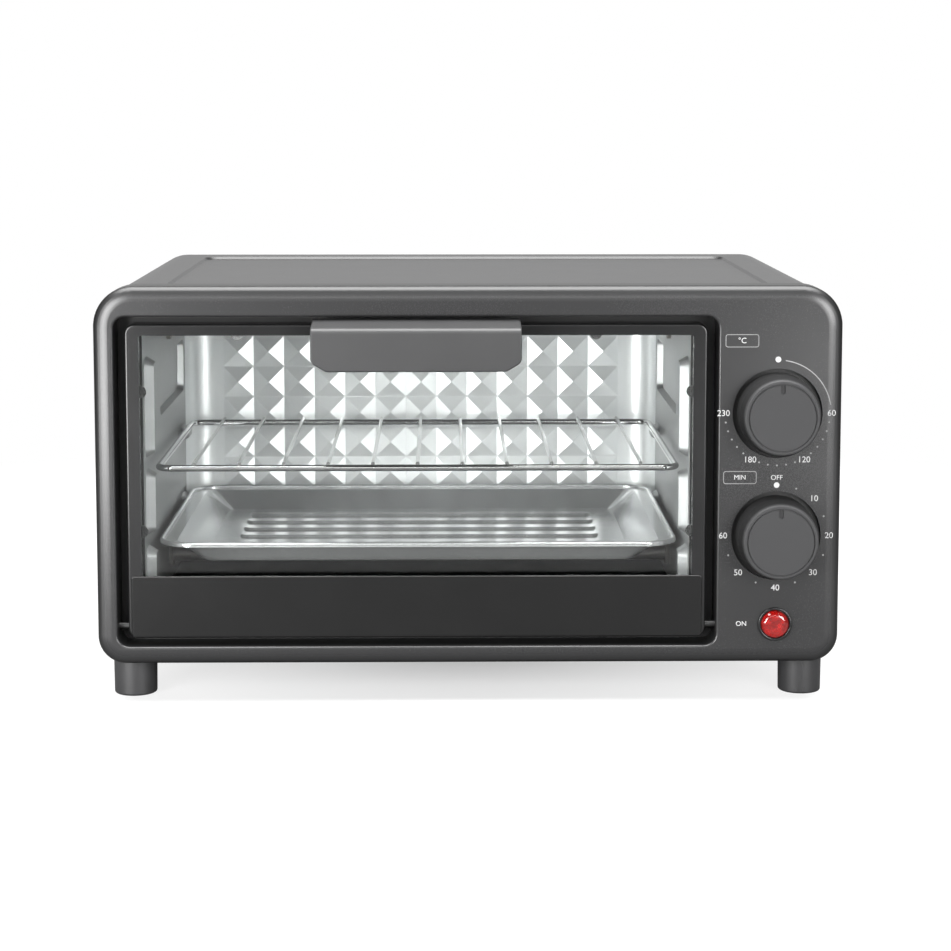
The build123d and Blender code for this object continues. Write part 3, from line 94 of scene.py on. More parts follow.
# Cover screws: shares of the head's height or radius
HEAD_ROUND = 0.55
RECESS_DEEP = 1.3
RECESS_WIDE = 0.22
RECESS_LONG = 1.1

# Soft lights: name, place, aim, width, height and watts
LAMPS = (
    ("top_softbox", (0.0, -0.2, 1.35), (0.0, -0.1, 0.1), 1.7, 1.2, 86.0),
    ("left_softbox", (-0.95, -1.55, 0.42), (0.0, 0.1, 0.14), 0.7, 0.8, 32.0),
    ("right_softbox", (1.02, -1.6, 0.42), (0.0, 0.1, 0.14), 0.7, 0.8, 27.0),
    ("front_softbox", (0.0, -2.6, 0.95), (0.0, 0.0, 0.12), 1.2, 0.4, 6.0),
    ("left_card", (-0.485, -0.59, 0.07), (-0.18, -0.12, 0.1), 0.38, 0.13, 2.3),
    ("right_card", (0.34, -0.8, 0.07), (0.15, 0.0, 0.13), 0.16, 0.1, 0.28),
)
SKY_LIGHT = 0.15


def middle(node):
    """The centre of a solid's box."""
    low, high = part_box(node)
    return (Vector(low) + Vector(high)) / 2


# Shader writing


class Value:
    """A number on a shader socket that takes part in Python sums."""

    def __init__(self, tree, socket):
        self.tree = tree
        self.socket = socket

    def sum(self, operation, first, second):
        node = self.tree.nodes.new("ShaderNodeMath")
        node.operation = operation
        for place, term in zip(node.inputs, (first, second)):
            if isinstance(term, Value):
                self.tree.links.new(term.socket, place)
            else:
                place.default_value = term
        return Value(self.tree, node.outputs[0])

    def __add__(self, other):
        return self.sum("ADD", self, other)

    __radd__ = __add__

    def __sub__(self, other):
        return self.sum("SUBTRACT", self, other)

    def __rsub__(self, other):
        return self.sum("SUBTRACT", other, self)

    def __mul__(self, other):
        return self.sum("MULTIPLY", self, other)

    __rmul__ = __mul__

    def most(self, other):
        return self.sum("MAXIMUM", self, other)


class Nodes:
    """A node tree that starts empty, with only its output."""

    def __init__(self, tree, output):
        self.tree = tree
        self.tree.nodes.clear()
        self.out = self.tree.nodes.new(output)

    def node(self, kind, settings=None, values=None, output=0):
        """Add a node, set it, then give its sockets their values or links."""
        made = self.tree.nodes.new(kind)
        for key, setting in (settings or {}).items():
            if key == "stops":
                ramp = made.color_ramp.elements
                for element, (spot, colour) in zip(ramp, setting):
                    element.position = spot
                    element.color = colour
            else:
                setattr(made, key, setting)
        for key, value in (values or {}).items():
            if isinstance(value, Value):
                self.tree.links.new(value.socket, made.inputs[key])
            else:
                made.inputs[key].default_value = value
        return Value(self.tree, made.outputs[output])

    def close(self, shader):
        """Wire a shader to the output."""
        self.tree.links.new(shader.socket, self.out.inputs["Surface"])


class Finish(Nodes):
    """One material, built round its main shader."""

    def __init__(self, name):
        self.material = bpy.data.materials.new(name)
        self.material.use_nodes = True
        super().__init__(self.material.node_tree, "ShaderNodeOutputMaterial")
        self.place = self.node("ShaderNodeTexCoord", output="Object")

    def noise(self, scale, detail=2.0, stretch=EVEN):
        """A noise over the surface, drawn out along the axes by a stretch."""
        spot = self.place
        if stretch != EVEN:
            spot = self.node("ShaderNodeMapping", values={"Vector": self.place, "Scale": stretch})
        return self.node(
            "ShaderNodeTexNoise", values={"Vector": spot, "Scale": scale, "Detail": detail}
        )

    def ramp(self, factor, low, high, dark, light):
        """A colour that runs from dark to light between two values of a factor."""
        stops = ((low, (*dark, 1.0)), (high, (*light, 1.0)))
        return self.node("ShaderNodeValToRGB", {"stops": stops}, {"Fac": factor})

    def fade(self, value, start, end, low=0.0, high=1.0):
        """A number that runs from low to high while another runs from start to end."""
        limits = {"From Min": start, "From Max": end, "To Min": low, "To Max": high}
        return self.node("ShaderNodeMapRange", values={"Value": value, **limits})

    def bump(self, height, distance):
        """A surface relief of a height in metres."""
        return self.node(
            "ShaderNodeBump", values={"Height": height, "Distance": distance, "Strength": 1.0}
        )

    def white(self):
        """A plain white glow."""
        return self.node("ShaderNodeEmission", values={"Color": WHITE, "Strength": 1.0})

    def main(self, **sockets):
        """The main shader, its sockets named with underscores for spaces."""
        values = {key.replace("_", " "): value for key, value in sockets.items()}
        return self.node("ShaderNodeBsdfPrincipled", values=values)

    def close(self, shader):
        """Wire a shader to the output and hand back the material."""
        super().close(shader)
        return self.material


def shade(colour, share=1.0):
    """A colour setting as plain numbers, made darker or lighter by a share."""
    return tuple(c * share for c in colour)


def moulded(name, colour, roughness, grain, depth, spread=0.06):
    """A moulded or coated surface with a fine pebble and a slight drift of colour."""
    make = Finish(name)
    drift = make.noise(55.0, 4.0)
    pebble = make.noise(grain, 2.0)
    lighter = shade(colour, 1.12)
    return make.close(
        make.main(
            Base_Color=make.ramp(drift, 0.35, 0.7, colour, lighter),
            Roughness=drift * spread + pebble * spread + (roughness - spread),
            Normal=make.bump(pebble, depth),
        )
    )


def falling_back(name, colour, roughness, grain, relief, front, near, far, dulling, gloss):
    """A moulded surface with a slight drift of tone and painted shade: darker and duller where it falls
    back from its front.
    """
    make = Finish(name)
    drift = make.noise(22.0, 3.0)
    pebble = make.noise(grain, 2.0)
    depth = make.node("ShaderNodeSeparateXYZ", values={"Vector": make.place}, output="Y") - front
    # Painted shade: this mask grows where the surface lies behind its front and takes the colour down
    # to a fifth of it; it also raises the roughness.
    back = make.fade(depth, near, far)
    dark = shade(colour, 0.2)
    return make.close(
        make.main(
            Base_Color=make.ramp((drift * 0.16 + 0.84) * (1.0 - back), 0.0, 1.0, dark, colour),
            Roughness=drift * 0.02 + pebble * 0.03 + back * dulling + (roughness - 0.025),
            Specular_IOR_Level=gloss,
            Normal=make.bump(pebble, relief),
        )
    )


def sheet_metal(name, colour, roughness, stretch=EVEN, depth=0.00001, spread=0.12, metal=1.0):
    """A bare metal sheet with rolling marks drawn out one way and a slight cloud."""
    make = Finish(name)
    cloud = make.noise(18.0, 3.0)
    streak = make.noise(160.0, 3.0, stretch)
    dull = shade(colour, 0.86)
    return make.close(
        make.main(
            Base_Color=make.ramp(cloud, 0.3, 0.7, dull, colour),
            Metallic=metal,
            Roughness=streak * spread + cloud * spread + (roughness - spread),
            Normal=make.bump(streak, depth),
        )
    )


def galvanised(name, colour, roughness):
    """A zinc-coated sheet with the flat crystals that such a coat grows."""
    make = Finish(name)
    wander = make.noise(60.0, 2.0)
    crystal = make.node(
        "ShaderNodeTexVoronoi", values={"Vector": make.place, "Scale": 150.0}, output="Color"
    )
    tone = make.node("ShaderNodeSeparateColor", values={"Color": crystal}, output="Red")
    dull = shade(colour, 0.8)
    return make.close(
        make.main(
            Base_Color=make.ramp(tone * 0.6 + wander * 0.4, 0.2, 0.8, dull, colour),
            Metallic=0.9,
            Roughness=tone * 0.12 + wander * 0.1 + (roughness - 0.11),
        )
    )


def pane(name):
    """Clear glass that lets shadow and diffuse rays straight through."""
    make = Finish(name)
    smear = make.noise(9.0, 2.0)
    glass = make.main(
        Base_Color=(0.97, 0.985, 0.975, 1.0),
        Roughness=smear * 0.01,
        Transmission_Weight=1.0,
        IOR=1.45,
    )
    through = make.node("ShaderNodeBsdfTransparent", values={"Color": (0.95, 0.96, 0.955, 1.0)})
    shadow = make.node("ShaderNodeLightPath", output="Is Shadow Ray")
    diffuse = make.node("ShaderNodeLightPath", output="Is Diffuse Ray")
    mix = make.node("ShaderNodeMixShader", values={0: shadow.most(diffuse), 1: glass, 2: through})
    return make.close(mix)


def red_glow(name, colour):
    """A red clear moulding with a glossy skin and a little light inside it."""
    make = Finish(name)
    cloud = make.noise(420.0, 2.0)
    deep = shade(colour, 0.45)
    return make.close(
        make.main(
            Base_Color=make.ramp(cloud, 0.35, 0.65, deep, colour),
            Roughness=cloud * 0.06 + 0.03,
            Transmission_Weight=0.55,
            Coat_Weight=1.0,
            Coat_Roughness=0.03,
            Emission_Color=(0.8, 0.02, 0.01, 1.0),
            Emission_Strength=0.05,
        )
    )


def print_paint(name, colour):
    """A pad-printed mark with a little unevenness."""
    make = Finish(name)
    patch = make.noise(900.0, 2.0)
    worn = shade(colour, 0.9)
    return make.close(
        make.main(
            Base_Color=make.ramp(patch, 0.3, 0.6, worn, colour),
            Roughness=patch * 0.1 + 0.4,
        )
    )


# Mesh helpers


def clear_selection():
    """Leave edit mode with nothing selected."""
    if bpy.context.object and bpy.context.object.mode != "OBJECT":
        bpy.ops.object.mode_set(mode="OBJECT")
    bpy.ops.object.select_all(action="DESELECT")


def settle(piece):
    """Put a piece's place into its mesh, so that its object sits at the origin."""
    clear_selection()
    bpy.context.view_layer.objects.active = piece
    piece.select_set(True)
    bpy.ops.object.transform_apply(location=True, rotation=True, scale=True)


def join(pieces, name):
    """Join finished pieces into one and name it."""
    clear_selection()
    for piece in pieces:
        piece.select_set(True)
    bpy.context.view_layer.objects.active = pieces[0]
    bpy.ops.object.join()
    joined = bpy.context.object
    joined.name = name
    joined.data.name = name
    return joined


def paint(piece, material):
    """Give a piece one material."""
    piece.data.materials.clear()
    piece.data.materials.append(material)


def lettering(words, height, x, z, thick):
    """Flat words on the fascia, centred on a spot."""
    clear_selection()
    bpy.ops.object.text_add(location=(x, FACE_Y, z), rotation=(radians(90), 0, 0))
    text = bpy.context.object
    text.data.body = words
    text.data.size = height
    text.data.align_x = "CENTER"
    text.data.align_y = "CENTER"
    text.data.extrude = thick
    text.data.resolution_u = 4
    bpy.ops.object.convert(target="MESH")
    piece = bpy.context.object
    settle(piece)
    return piece


def dot(radius, x, z, thick):
    """A round printed dot: a disc that is raised from the fascia."""
    clear_selection()
    bpy.ops.mesh.primitive_circle_add(
        vertices=20,
        radius=radius,
        fill_type="NGON",
        location=(x, FACE_Y, z),
        rotation=(radians(90), 0, 0),
    )
    piece = bpy.context.object
    settle(piece)
    bpy.ops.object.mode_set(mode="EDIT")
    bpy.ops.mesh.select_all(action="SELECT")
    bpy.ops.mesh.extrude_region_move(TRANSFORM_OT_translate={"value": (0, -thick, 0)})
    bpy.ops.mesh.select_all(action="SELECT")
    bpy.ops.mesh.normals_make_consistent(inside=False)
    bpy.ops.object.mode_set(mode="OBJECT")
    return piece


def sweep_line(radius, width, start, sweep, x, z, thick):
    """A printed arc about a dial, spun clockwise from a start angle."""
    clear_selection()
    outward = Vector((sin(radians(start)), 0, cos(radians(start))))
    centre = Vector((x, FACE_Y, z))
    bpy.ops.mesh.primitive_plane_add(size=width, location=(0, 0, 0))
    piece = bpy.context.object
    near = centre + outward * (radius - width / 2)
    far = centre + outward * (radius + width / 2)
    spots = (near, far, far + Vector((0, -thick, 0)), near + Vector((0, -thick, 0)))
    for vertex, spot in zip((piece.data.vertices[i] for i in (0, 1, 3, 2)), spots):
        vertex.co = spot
    bpy.ops.object.mode_set(mode="EDIT")
    bpy.ops.mesh.select_all(action="SELECT")
    bpy.ops.mesh.spin(
        steps=24, angle=radians(sweep), center=centre, axis=(0, -1, 0), dupli=False
    )
    bpy.ops.mesh.select_all(action="SELECT")
    bpy.ops.mesh.remove_doubles(threshold=0.000002)
    bpy.ops.mesh.normals_make_consistent(inside=False)
    bpy.ops.object.mode_set(mode="OBJECT")
    return piece


def outline_box(width, height, line, x, z, thick):
    """An outlined label box: a plate that is inset, opened and raised."""
    clear_selection()
    bpy.ops.mesh.primitive_plane_add(
        size=1.0, location=(x, FACE_Y, z), rotation=(radians(90), 0, 0)
    )
    piece = bpy.context.object
    piece.scale = (width, height, 1.0)
    settle(piece)
    bpy.ops.object.mode_set(mode="EDIT")
    bpy.ops.mesh.select_all(action="SELECT")
    bpy.ops.mesh.bevel(offset=height * LABEL_CORNER, segments=4, affect="VERTICES")
    bpy.ops.mesh.select_all(action="SELECT")
    bpy.ops.mesh.inset(thickness=line)
    bpy.ops.mesh.delete(type="FACE")
    bpy.ops.mesh.select_all(action="SELECT")
    bpy.ops.mesh.extrude_region_move(TRANSFORM_OT_translate={"value": (0, -thick, 0)})
    bpy.ops.mesh.select_all(action="SELECT")
    bpy.ops.mesh.normals_make_consistent(inside=False)
    bpy.ops.object.mode_set(mode="OBJECT")
    return piece


def crosshead(radius, height, shank, reach):
    """A pan-head screw along X, its head outwards from the origin, with a cross recess."""
    clear_selection()
    bpy.ops.mesh.primitive_cylinder_add(
        vertices=40,
        radius=radius,
        depth=height,
        location=(height / 2, 0, 0),
        rotation=(0, radians(90), 0),
    )
    screw = bpy.context.object
    settle(screw)
    pick_end(screw, 1)
    bpy.ops.mesh.region_to_loop()
    bpy.ops.mesh.bevel(offset=height * HEAD_ROUND, segments=4, affect="EDGES")
    pick_end(screw, -1)
    bpy.ops.mesh.inset(thickness=radius - shank)
    bpy.ops.mesh.extrude_region_move(TRANSFORM_OT_translate={"value": (-reach, 0, 0)})
    bpy.ops.object.mode_set(mode="OBJECT")
    for turn in (0, 90):
        clear_selection()
        bpy.ops.mesh.primitive_cube_add(
            size=1.0, location=(height, 0, 0), rotation=(radians(turn), 0, 0)
        )
        cutter = bpy.context.object
        cutter.scale = (height * RECESS_DEEP, radius * RECESS_WIDE, radius * RECESS_LONG)
        settle(cutter)
        slot = screw.modifiers.new("recess", "BOOLEAN")
        slot.operation = "DIFFERENCE"
        slot.object = cutter
        clear_selection()
        bpy.context.view_layer.objects.active = screw
        screw.select_set(True)
        bpy.ops.object.modifier_apply(modifier=slot.name)
        bpy.data.objects.remove(cutter)
    return screw


def pick_end(piece, side):
    """Go into edit mode with only the end face on one side of X picked."""
    clear_selection()
    bpy.context.view_layer.objects.active = piece
    piece.select_set(True)
    bpy.ops.object.mode_set(mode="EDIT")
    bpy.ops.mesh.select_mode(type="FACE")
    bpy.ops.mesh.select_all(action="DESELECT")
    bpy.ops.object.mode_set(mode="OBJECT")
    for face in piece.data.polygons:
        face.select = face.normal.x * side > 0.95
    bpy.ops.object.mode_set(mode="EDIT")


def copy_to(piece, spot, turn):
    """A copy with its own mesh, turned about Z and settled at a spot."""
    clear_selection()
    bpy.context.view_layer.objects.active = piece
    piece.select_set(True)
    bpy.ops.object.duplicate(linked=False)
    copy = bpy.context.object
    copy.location = spot
    copy.rotation_euler = (0, 0, radians(turn))
    settle(copy)
    return copy


def around(centre, radius, angle):
    """A spot about a dial, clockwise from the top."""
    return (
        centre.x + radius * sin(radians(angle)),
        centre.z + radius * cos(radians(angle)),
    )


def printed(strong, faint, inks, name):
    """Paint the strong and the faint marks of one print, join them and fix them to the oven."""
    for pieces, ink in zip((strong, faint), inks):
        for piece in pieces:
            paint(piece, ink)
    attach(join(strong + faint, name), "oven_body")


def plate(name, size, spot, tilt=0, scale=EVEN):
    """A flat stage piece, tipped up by an angle about X."""
    clear_selection()
    bpy.ops.mesh.primitive_plane_add(size=size, location=spot, rotation=(radians(tilt), 0, 0))
    piece = bpy.context.object
    piece.name = name
    piece.scale = scale
    settle(piece)
    return piece


def soft_light(name, spot, aim, wide, tall, power):
    """A soft rectangular light that the camera doesn't see."""
    clear_selection()
    bpy.ops.object.light_add(type="AREA", location=spot)
    lamp = bpy.context.object
    lamp.name = name
    lamp.data.shape = "RECTANGLE"
    lamp.data.size = wide
    lamp.data.size_y = tall
    lamp.data.energy = power
    lamp.visible_camera = False
    lamp.rotation_euler = (Vector(aim) - Vector(spot)).to_track_quat("-Z", "Y").to_euler()


def white_sky(scene):
    """A world that the camera sees as white and that gives the part only a little light."""
    world = scene.world or bpy.data.worlds.new("studio")
    scene.world = world
    world.use_nodes = True
    make = Nodes(world.node_tree, "ShaderNodeOutputWorld")
    seen = make.node("ShaderNodeLightPath", output="Is Camera Ray")
    strength = seen * (1.0 - SKY_LIGHT) + SKY_LIGHT
    make.close(make.node("ShaderNodeBackground", values={"Color": WHITE, "Strength": strength}))


# Settings


class OvenFinishSettings(bpy.types.PropertyGroup):
    fascia: bpy.props.FloatVectorProperty(
        name="Fascia", description="Colour of the moulded front", subtype="COLOR",
        default=(0.022, 0.022, 0.0225),
    )
    cover: bpy.props.FloatVectorProperty(
        name="Cover", description="Colour of the coated cover", subtype="COLOR",
        default=(0.01, 0.01, 0.0103),
    )
    grips: bpy.props.FloatVectorProperty(
        name="Grips", description="Colour of the knobs and the handle", subtype="COLOR",
        default=(0.0245, 0.0245, 0.0252),
    )
    cavity: bpy.props.FloatVectorProperty(
        name="Cavity", description="Colour of the bright cavity sheets", subtype="COLOR",
        default=(0.94, 0.955, 0.96),
    )
    # The sides and ceiling take the cavity's sheet steel at about a third of its brightness: painted
    # shade.
    walls: bpy.props.FloatVectorProperty(
        name="Walls", description="Colour of the cavity's sides and ceiling", subtype="COLOR",
        default=(0.33, 0.335, 0.337),
    )
    tray: bpy.props.FloatVectorProperty(
        name="Tray", description="Colour of the baking tray", subtype="COLOR",
        default=(0.68, 0.685, 0.69),
    )
    lamp: bpy.props.FloatVectorProperty(
        name="Lamp", description="Colour of the indicator lens", subtype="COLOR",
        default=(0.6, 0.01, 0.008),
    )


class OvenPrintSettings(bpy.types.PropertyGroup):
    strong: bpy.props.FloatVectorProperty(
        name="Strong Print", description="Colour of the numbers and words", subtype="COLOR",
        default=(0.5, 0.5, 0.5),
    )
    faint: bpy.props.FloatVectorProperty(
        name="Faint Print", description="Colour of the fine lines and small dots", subtype="COLOR",
        default=(0.26, 0.26, 0.26),
    )
    numeral: bpy.props.FloatProperty(
        name="Numeral", description="Height of the dial numbers", unit="LENGTH", default=0.0043,
    )
    ring: bpy.props.FloatProperty(
        name="Ring", description="Radius of the ring of numbers", unit="LENGTH", default=0.0268,
    )
    dot: bpy.props.FloatProperty(
        name="Dot", description="Radius of a minor dot", unit="LENGTH", default=0.00045,
    )
    thick: bpy.props.FloatProperty(
        name="Thickness", description="Thickness of the print", unit="LENGTH", default=0.00006,
    )


class OvenScrewSettings(bpy.types.PropertyGroup):
    radius: bpy.props.FloatProperty(
        name="Head Radius", description="Radius of a cover screw's head", unit="LENGTH", default=0.003,
    )
    height: bpy.props.FloatProperty(
        name="Head Height", description="Height of a cover screw's head", unit="LENGTH", default=0.0012,
    )
    shank: bpy.props.FloatProperty(
        name="Shank", description="Radius of a cover screw's shank", unit="LENGTH", default=0.0015,
    )
    reach: bpy.props.FloatProperty(
        name="Reach", description="Length of a cover screw's shank", unit="LENGTH", default=0.0048,
    )


class OvenStageSettings(bpy.types.PropertyGroup):
    lens: bpy.props.FloatProperty(
        name="Lens", description="Focal length on a 36 mm frame", default=87.79,
    )
    stand: bpy.props.FloatVectorProperty(
        name="Stand", description="Place of the camera", subtype="TRANSLATION",
        default=(-0.0125, -1.2537, 0.3019),
    )
    tilt: bpy.props.FloatProperty(
        name="Tilt", description="How far the camera looks down", subtype="ANGLE",
        default=radians(6.24),
    )
    turn: bpy.props.FloatProperty(
        name="Turn", description="How far the camera turns right", subtype="ANGLE",
        default=radians(0.8),
    )
    rise: bpy.props.FloatProperty(
        name="Rise", description="Vertical shift of the lens", default=-0.13,
    )


# Operators


class OVEN_OT_finishes(bpy.types.Operator):
    """Give every solid of the oven its finish"""

    bl_idname = "oven.finishes"
    bl_label = "Finish the Solids"

    def execute(self, context):
        colours = context.scene.oven_finish
        # Painted shade on the fascia: darker in its recess and dial wells and on its outer rim, from
        # 0.3 mm behind the face.
        fascia = falling_back(
            "fascia_plastic", shade(colours.fascia), roughness=0.27, grain=2600.0, relief=0.000004,
            front=FACE_Y, near=0.0003, far=0.0024, dulling=0.16, gloss=0.5,
        )
        door_plastic = moulded(
            "door_plastic", shade(colours.fascia, 0.4), roughness=0.22, grain=2600.0, depth=0.000004,
            spread=0.04,
        )
        cover = moulded(
            "coated_cover", shade(colours.cover), roughness=0.4, grain=1500.0, depth=0.00003,
            spread=0.025,
        )
        grips = moulded(
            "grip_plastic", shade(colours.grips, 0.8), roughness=0.48, grain=3200.0, depth=0.00003
        )
        # Painted shade on the knobs: their sides darken from 0.5 mm behind the knob's face towards the
        # panel.
        dials = falling_back(
            "dial_plastic", shade(colours.grips, 1.5), roughness=0.5, grain=3200.0, relief=0.00003,
            front=KNOB_Y, near=0.0005, far=0.003, dulling=0.4, gloss=0.2,
        )
        frame_black = moulded(
            "black_frame_paint", (0.006, 0.006, 0.006), roughness=0.5, grain=1800.0, depth=0.00002
        )
        rubber = moulded(
            "foot_rubber", (0.03, 0.03, 0.031), roughness=0.42, grain=1200.0, depth=0.00004
        )
        apron = moulded(
            "apron_paint", (0.004, 0.004, 0.004), roughness=0.22, grain=900.0, depth=0.000003,
            spread=0.03,
        )
        # The cavity floor is near black.
        near_black_floor = moulded(
            "near_black_cavity_floor", (0.004, 0.004, 0.004), roughness=0.5, grain=700.0, depth=0.00001
        )
        cream = moulded(
            "cream_moulding", (0.6, 0.56, 0.46), roughness=0.5, grain=1500.0, depth=0.00002
        )
        ceramic = moulded(
            "bush_ceramic", (0.2, 0.19, 0.175), roughness=0.7, grain=1100.0, depth=0.00004
        )
        bright = sheet_metal(
            "cavity_sheet", shade(colours.cavity), roughness=0.34, stretch=(0.15, 1.0, 1.0),
            depth=0.0000003, spread=0.05, metal=0.4,
        )
        # Painted shade: the cavity's sides and ceiling are a darker copy of its bright sheet.
        walls = sheet_metal(
            "wall_sheet_painted_shade", shade(colours.walls), roughness=0.36, stretch=(1.0, 0.15, 1.0),
            depth=0.0000004, spread=0.06, metal=0.6,
        )
        zinc = galvanised("zinc_sheet", (0.55, 0.56, 0.57), roughness=0.4)
        plated = sheet_metal(
            "plated_steel", (0.6, 0.6, 0.6), roughness=0.26, depth=0.000001, spread=0.06
        )
        # A dark steel for the hinge pins.
        dark_steel = sheet_metal("dark_pin_steel", (0.06, 0.06, 0.06), roughness=0.4)
        tray = sheet_metal(
            "tray_sheet", shade(colours.tray), roughness=0.22, stretch=(0.3, 1.0, 1.0),
            depth=0.0000004, spread=0.05, metal=0.75,
        )
        chrome = sheet_metal(
            "rack_chrome", (0.6, 0.6, 0.6), roughness=0.1, depth=0.0000005, spread=0.03
        )
        sheath = sheet_metal(
            "heater_sheath", (0.3, 0.29, 0.28), roughness=0.45, stretch=(0.1, 1.0, 1.0)
        )
        glass = pane("door_pane")
        lens = red_glow("lamp_lens", shade(colours.lamp))
        finishes = {
            "front_fascia": fascia,
            "door_frame": door_plastic,
            "door_apron": apron,
            "outer_cover": cover,
            "door_handle": grips,
            "temperature_knob": dials,
            "timer_knob": dials,
            "front_frame": frame_black,
            "cord_gland": rubber,
            "thermostat": cream,
            "timer": cream,
            "terminal_block": cream,
            "heater_bushes": ceramic,
            "cavity_left_wall": walls,
            "cavity_right_wall": walls,
            "cavity_ceiling": walls,
            "cavity_floor": near_black_floor,
            "reflector_back_wall": bright,
            "timer_bell": bright,
            "baking_tray": tray,
            "wire_rack": chrome,
            "indicator_bezel": door_plastic,
            "hinge_pin_left": dark_steel,
            "hinge_pin_right": dark_steel,
            "upper_heater": sheath,
            "lower_heater": sheath,
            "glass_clips": plated,
            "clip_screws": plated,
            "handle_screws": plated,
            "door_stay_left": plated,
            "door_stay_right": plated,
            "door_glass": glass,
            "indicator_lamp": glass,
            "indicator_lens": lens,
        }
        for name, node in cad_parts.items():
            rubber_foot = name.startswith("foot_") and name != "foot_screws"
            paint(node, finishes.get(name, rubber if rubber_foot else zinc))
        return {"FINISHED"}


class OVEN_OT_dial_print(bpy.types.Operator):
    """Print the two dials and the lamp's word on the fascia"""

    bl_idname = "oven.dial_print"
    bl_label = "Print the Dials"

    def execute(self, context):
        marks = context.scene.oven_print
        thick = marks.thick
        tall = marks.numeral
        inks = (
            print_paint("strong_print", shade(marks.strong)),
            print_paint("faint_print", shade(marks.faint)),
        )
        warm = middle("temperature_knob")
        clock = middle("timer_knob")
        lamp = middle("indicator_lens")

        strong = [dot(MARK_R, *around(warm, marks.ring, 0), thick)]
        faint = [sweep_line(ARC_R, ARC_LINE, ARC_START, ARC_SWEEP, warm.x, warm.z, thick)]
        for number, angle in WARM_NUMBERS:
            strong.append(lettering(str(number), tall, *around(warm, marks.ring, angle), thick))
        for gap in WARM_GAPS:
            for step in range(1, WARM_DOTS + 1):
                spot = around(warm, marks.ring * WARM_DOT_RING, gap + WARM_DOT_STEP * step)
                faint.append(dot(marks.dot, *spot, thick))
        label = (warm.x + WARM_LABEL[0], warm.z + WARM_LABEL[1])
        faint.append(outline_box(LABEL_W, LABEL_H, LABEL_LINE, *label, thick))
        strong.append(lettering("°C", tall * DEGREE_SHARE, *label, thick))
        printed(strong, faint, inks, "temperature_print")

        strong = [dot(MARK_R, *around(clock, CLOCK_MARK_R, 0), thick)]
        strong.append(lettering("OFF", tall * WORD_SHARE, *around(clock, CLOCK_OFF_R, 0), thick))
        faint = []
        for step in range(1, CLOCK_NUMBERS + 1):
            angle = CLOCK_STEP * step
            spot = around(clock, marks.ring * CLOCK_RING, angle)
            strong.append(lettering(str(CLOCK_MINUTES * step), tall, *spot, thick))
            spot = around(clock, CLOCK_DOT_R, angle - CLOCK_STEP / 2)
            faint.append(dot(marks.dot, *spot, thick))
        label = (clock.x + CLOCK_LABEL[0], clock.z + CLOCK_LABEL[1])
        faint.append(outline_box(LABEL_W, LABEL_H, LABEL_LINE, *label, thick))
        strong.append(lettering("MIN", tall * MIN_SHARE, *label, thick))
        printed(strong, faint, inks, "timer_print")

        word = lettering("ON", tall * WORD_SHARE, lamp.x + LAMP_WORD, lamp.z, thick)
        printed([word], [], inks, "lamp_print")
        return {"FINISHED"}


class OVEN_OT_cover_screws(bpy.types.Operator):
    """Model the screws of the cover with their cross recesses"""

    bl_idname = "oven.cover_screws"
    bl_label = "Model the Cover Screws"

    def execute(self, context):
        marks = context.scene.oven_screws
        low, high = (Vector(corner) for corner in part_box("cover_screws"))
        depth = (low.y + high.y) / 2
        model = crosshead(marks.radius, marks.height, marks.shank, marks.reach)
        pieces = []
        for seat, turn in ((high.x - marks.height, 0), (low.x + marks.height, 180)):
            for z in (low.z + marks.radius, high.z - marks.radius):
                pieces.append(copy_to(model, (seat, depth, z), turn))
        bpy.data.objects.remove(model)
        screws = join(pieces, "crosshead_cover_screws")
        plating = sheet_metal(
            "screw_plating", (0.5, 0.5, 0.5), roughness=0.3, depth=0.000001, spread=0.06
        )
        paint(screws, plating)
        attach(screws, "oven_body")
        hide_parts("cover_screws")
        return {"FINISHED"}


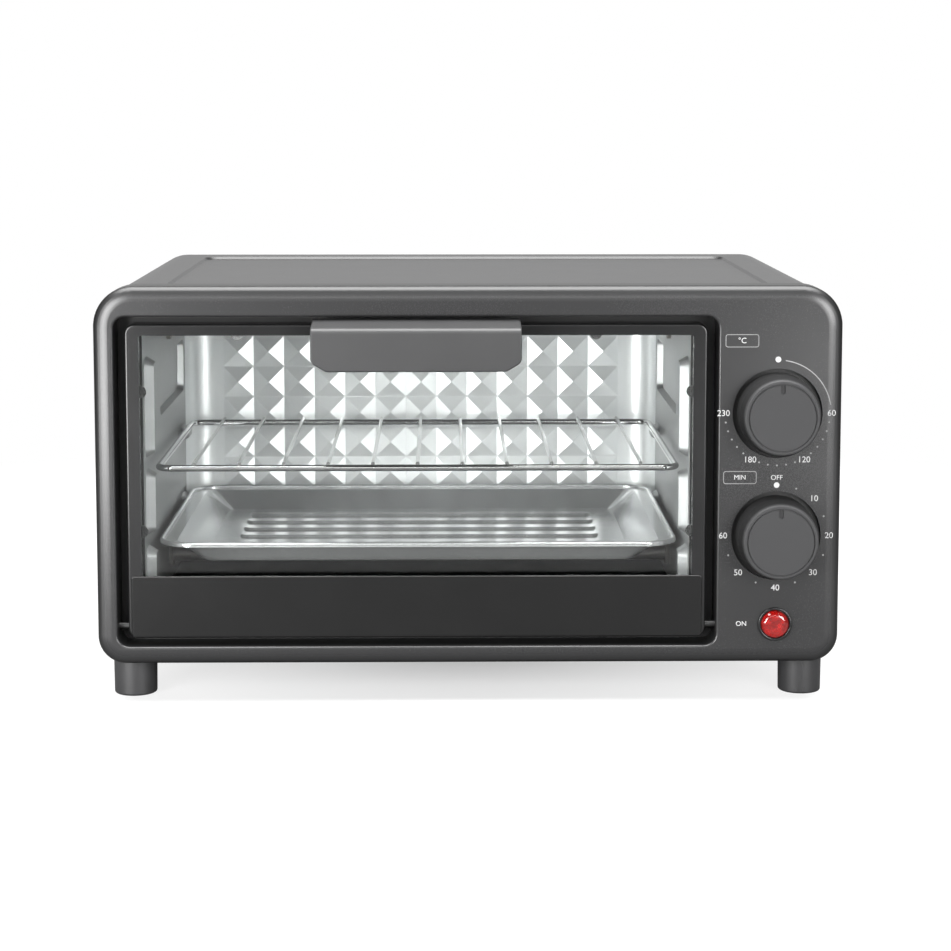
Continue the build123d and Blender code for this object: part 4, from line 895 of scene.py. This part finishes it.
class OVEN_OT_stage(bpy.types.Operator):
    """Set the floor, the soft lights, the world and the camera"""

    bl_idname = "oven.stage"
    bl_label = "Set the Stage"

    def execute(self, context):
        place = context.scene.oven_stage
        floor = plate("studio_floor", size=12.0, spot=(0, 3.0, 0))
        make = Finish("floor_paper")
        seen = make.node("ShaderNodeLightPath", output="Is Camera Ray")
        reach = make.node("ShaderNodeVectorMath", {"operation": "LENGTH"}, {0: make.place}, "Value")
        under = make.fade(reach, start=0.03, end=0.17, low=0.42, high=0.8)
        far = make.fade(reach, start=0.3, end=0.75)
        paper = make.main(
            Base_Color=make.ramp(seen, 0.0, 1.0, (0.12, 0.12, 0.12), (0.85, 0.85, 0.85)),
            Roughness=0.9,
            Specular_IOR_Level=0.1,
        )
        mix = {0: seen * under.most(far), 1: paper, 2: make.white()}
        paint(floor, make.close(make.node("ShaderNodeMixShader", values=mix)))

        backdrop = plate(
            "white_backdrop", size=1.0, spot=(0, 2.5, 0.7), tilt=90, scale=(2.6, 1.4, 1.0)
        )
        make = Finish("backdrop_cloth")
        paint(backdrop, make.close(make.white()))

        for lamp in LAMPS:
            soft_light(*lamp)
        white_sky(context.scene)

        clear_selection()
        bpy.ops.object.camera_add(
            location=tuple(place.stand),
            rotation=(radians(90) - place.tilt, 0.0, -place.turn),
        )
        camera = context.object
        camera.name = "photo_camera"
        camera.data.sensor_width = 36.0
        camera.data.lens = place.lens
        camera.data.shift_y = place.rise
        context.scene.camera = camera
        context.scene.view_settings.view_transform = "Standard"
        return {"FINISHED"}


class OVEN_PT_dresser(bpy.types.Panel):
    """The oven's pieces, in the order in which they are made"""

    bl_idname = "OVEN_PT_dresser"
    bl_label = "Oven"
    bl_space_type = "VIEW_3D"
    bl_region_type = "UI"
    bl_category = "Oven"

    def draw(self, context):
        for step in STEPS:
            self.layout.operator(step.bl_idname)
        for group, _ in SETTINGS:
            settings = getattr(context.scene, group)
            for name in settings.__annotations__:
                self.layout.prop(settings, name)


SETTINGS = (
    ("oven_finish", OvenFinishSettings),
    ("oven_print", OvenPrintSettings),
    ("oven_screws", OvenScrewSettings),
    ("oven_stage", OvenStageSettings),
)
STEPS = (OVEN_OT_finishes, OVEN_OT_dial_print, OVEN_OT_cover_screws, OVEN_OT_stage)


def register():
    for name, group in SETTINGS:
        bpy.utils.register_class(group)
        setattr(bpy.types.Scene, name, bpy.props.PointerProperty(type=group))
    for step in STEPS:
        bpy.utils.register_class(step)
    bpy.utils.register_class(OVEN_PT_dresser)


def unregister():
    bpy.utils.unregister_class(OVEN_PT_dresser)
    for step in reversed(STEPS):
        bpy.utils.unregister_class(step)
    for name, group in reversed(SETTINGS):
        delattr(bpy.types.Scene, name)
        bpy.utils.unregister_class(group)


def main():
    register()
    bpy.ops.oven.finishes()
    bpy.ops.oven.dial_print()
    bpy.ops.oven.cover_screws()
    bpy.ops.oven.stage()


if __name__ == "__main__":
    main()
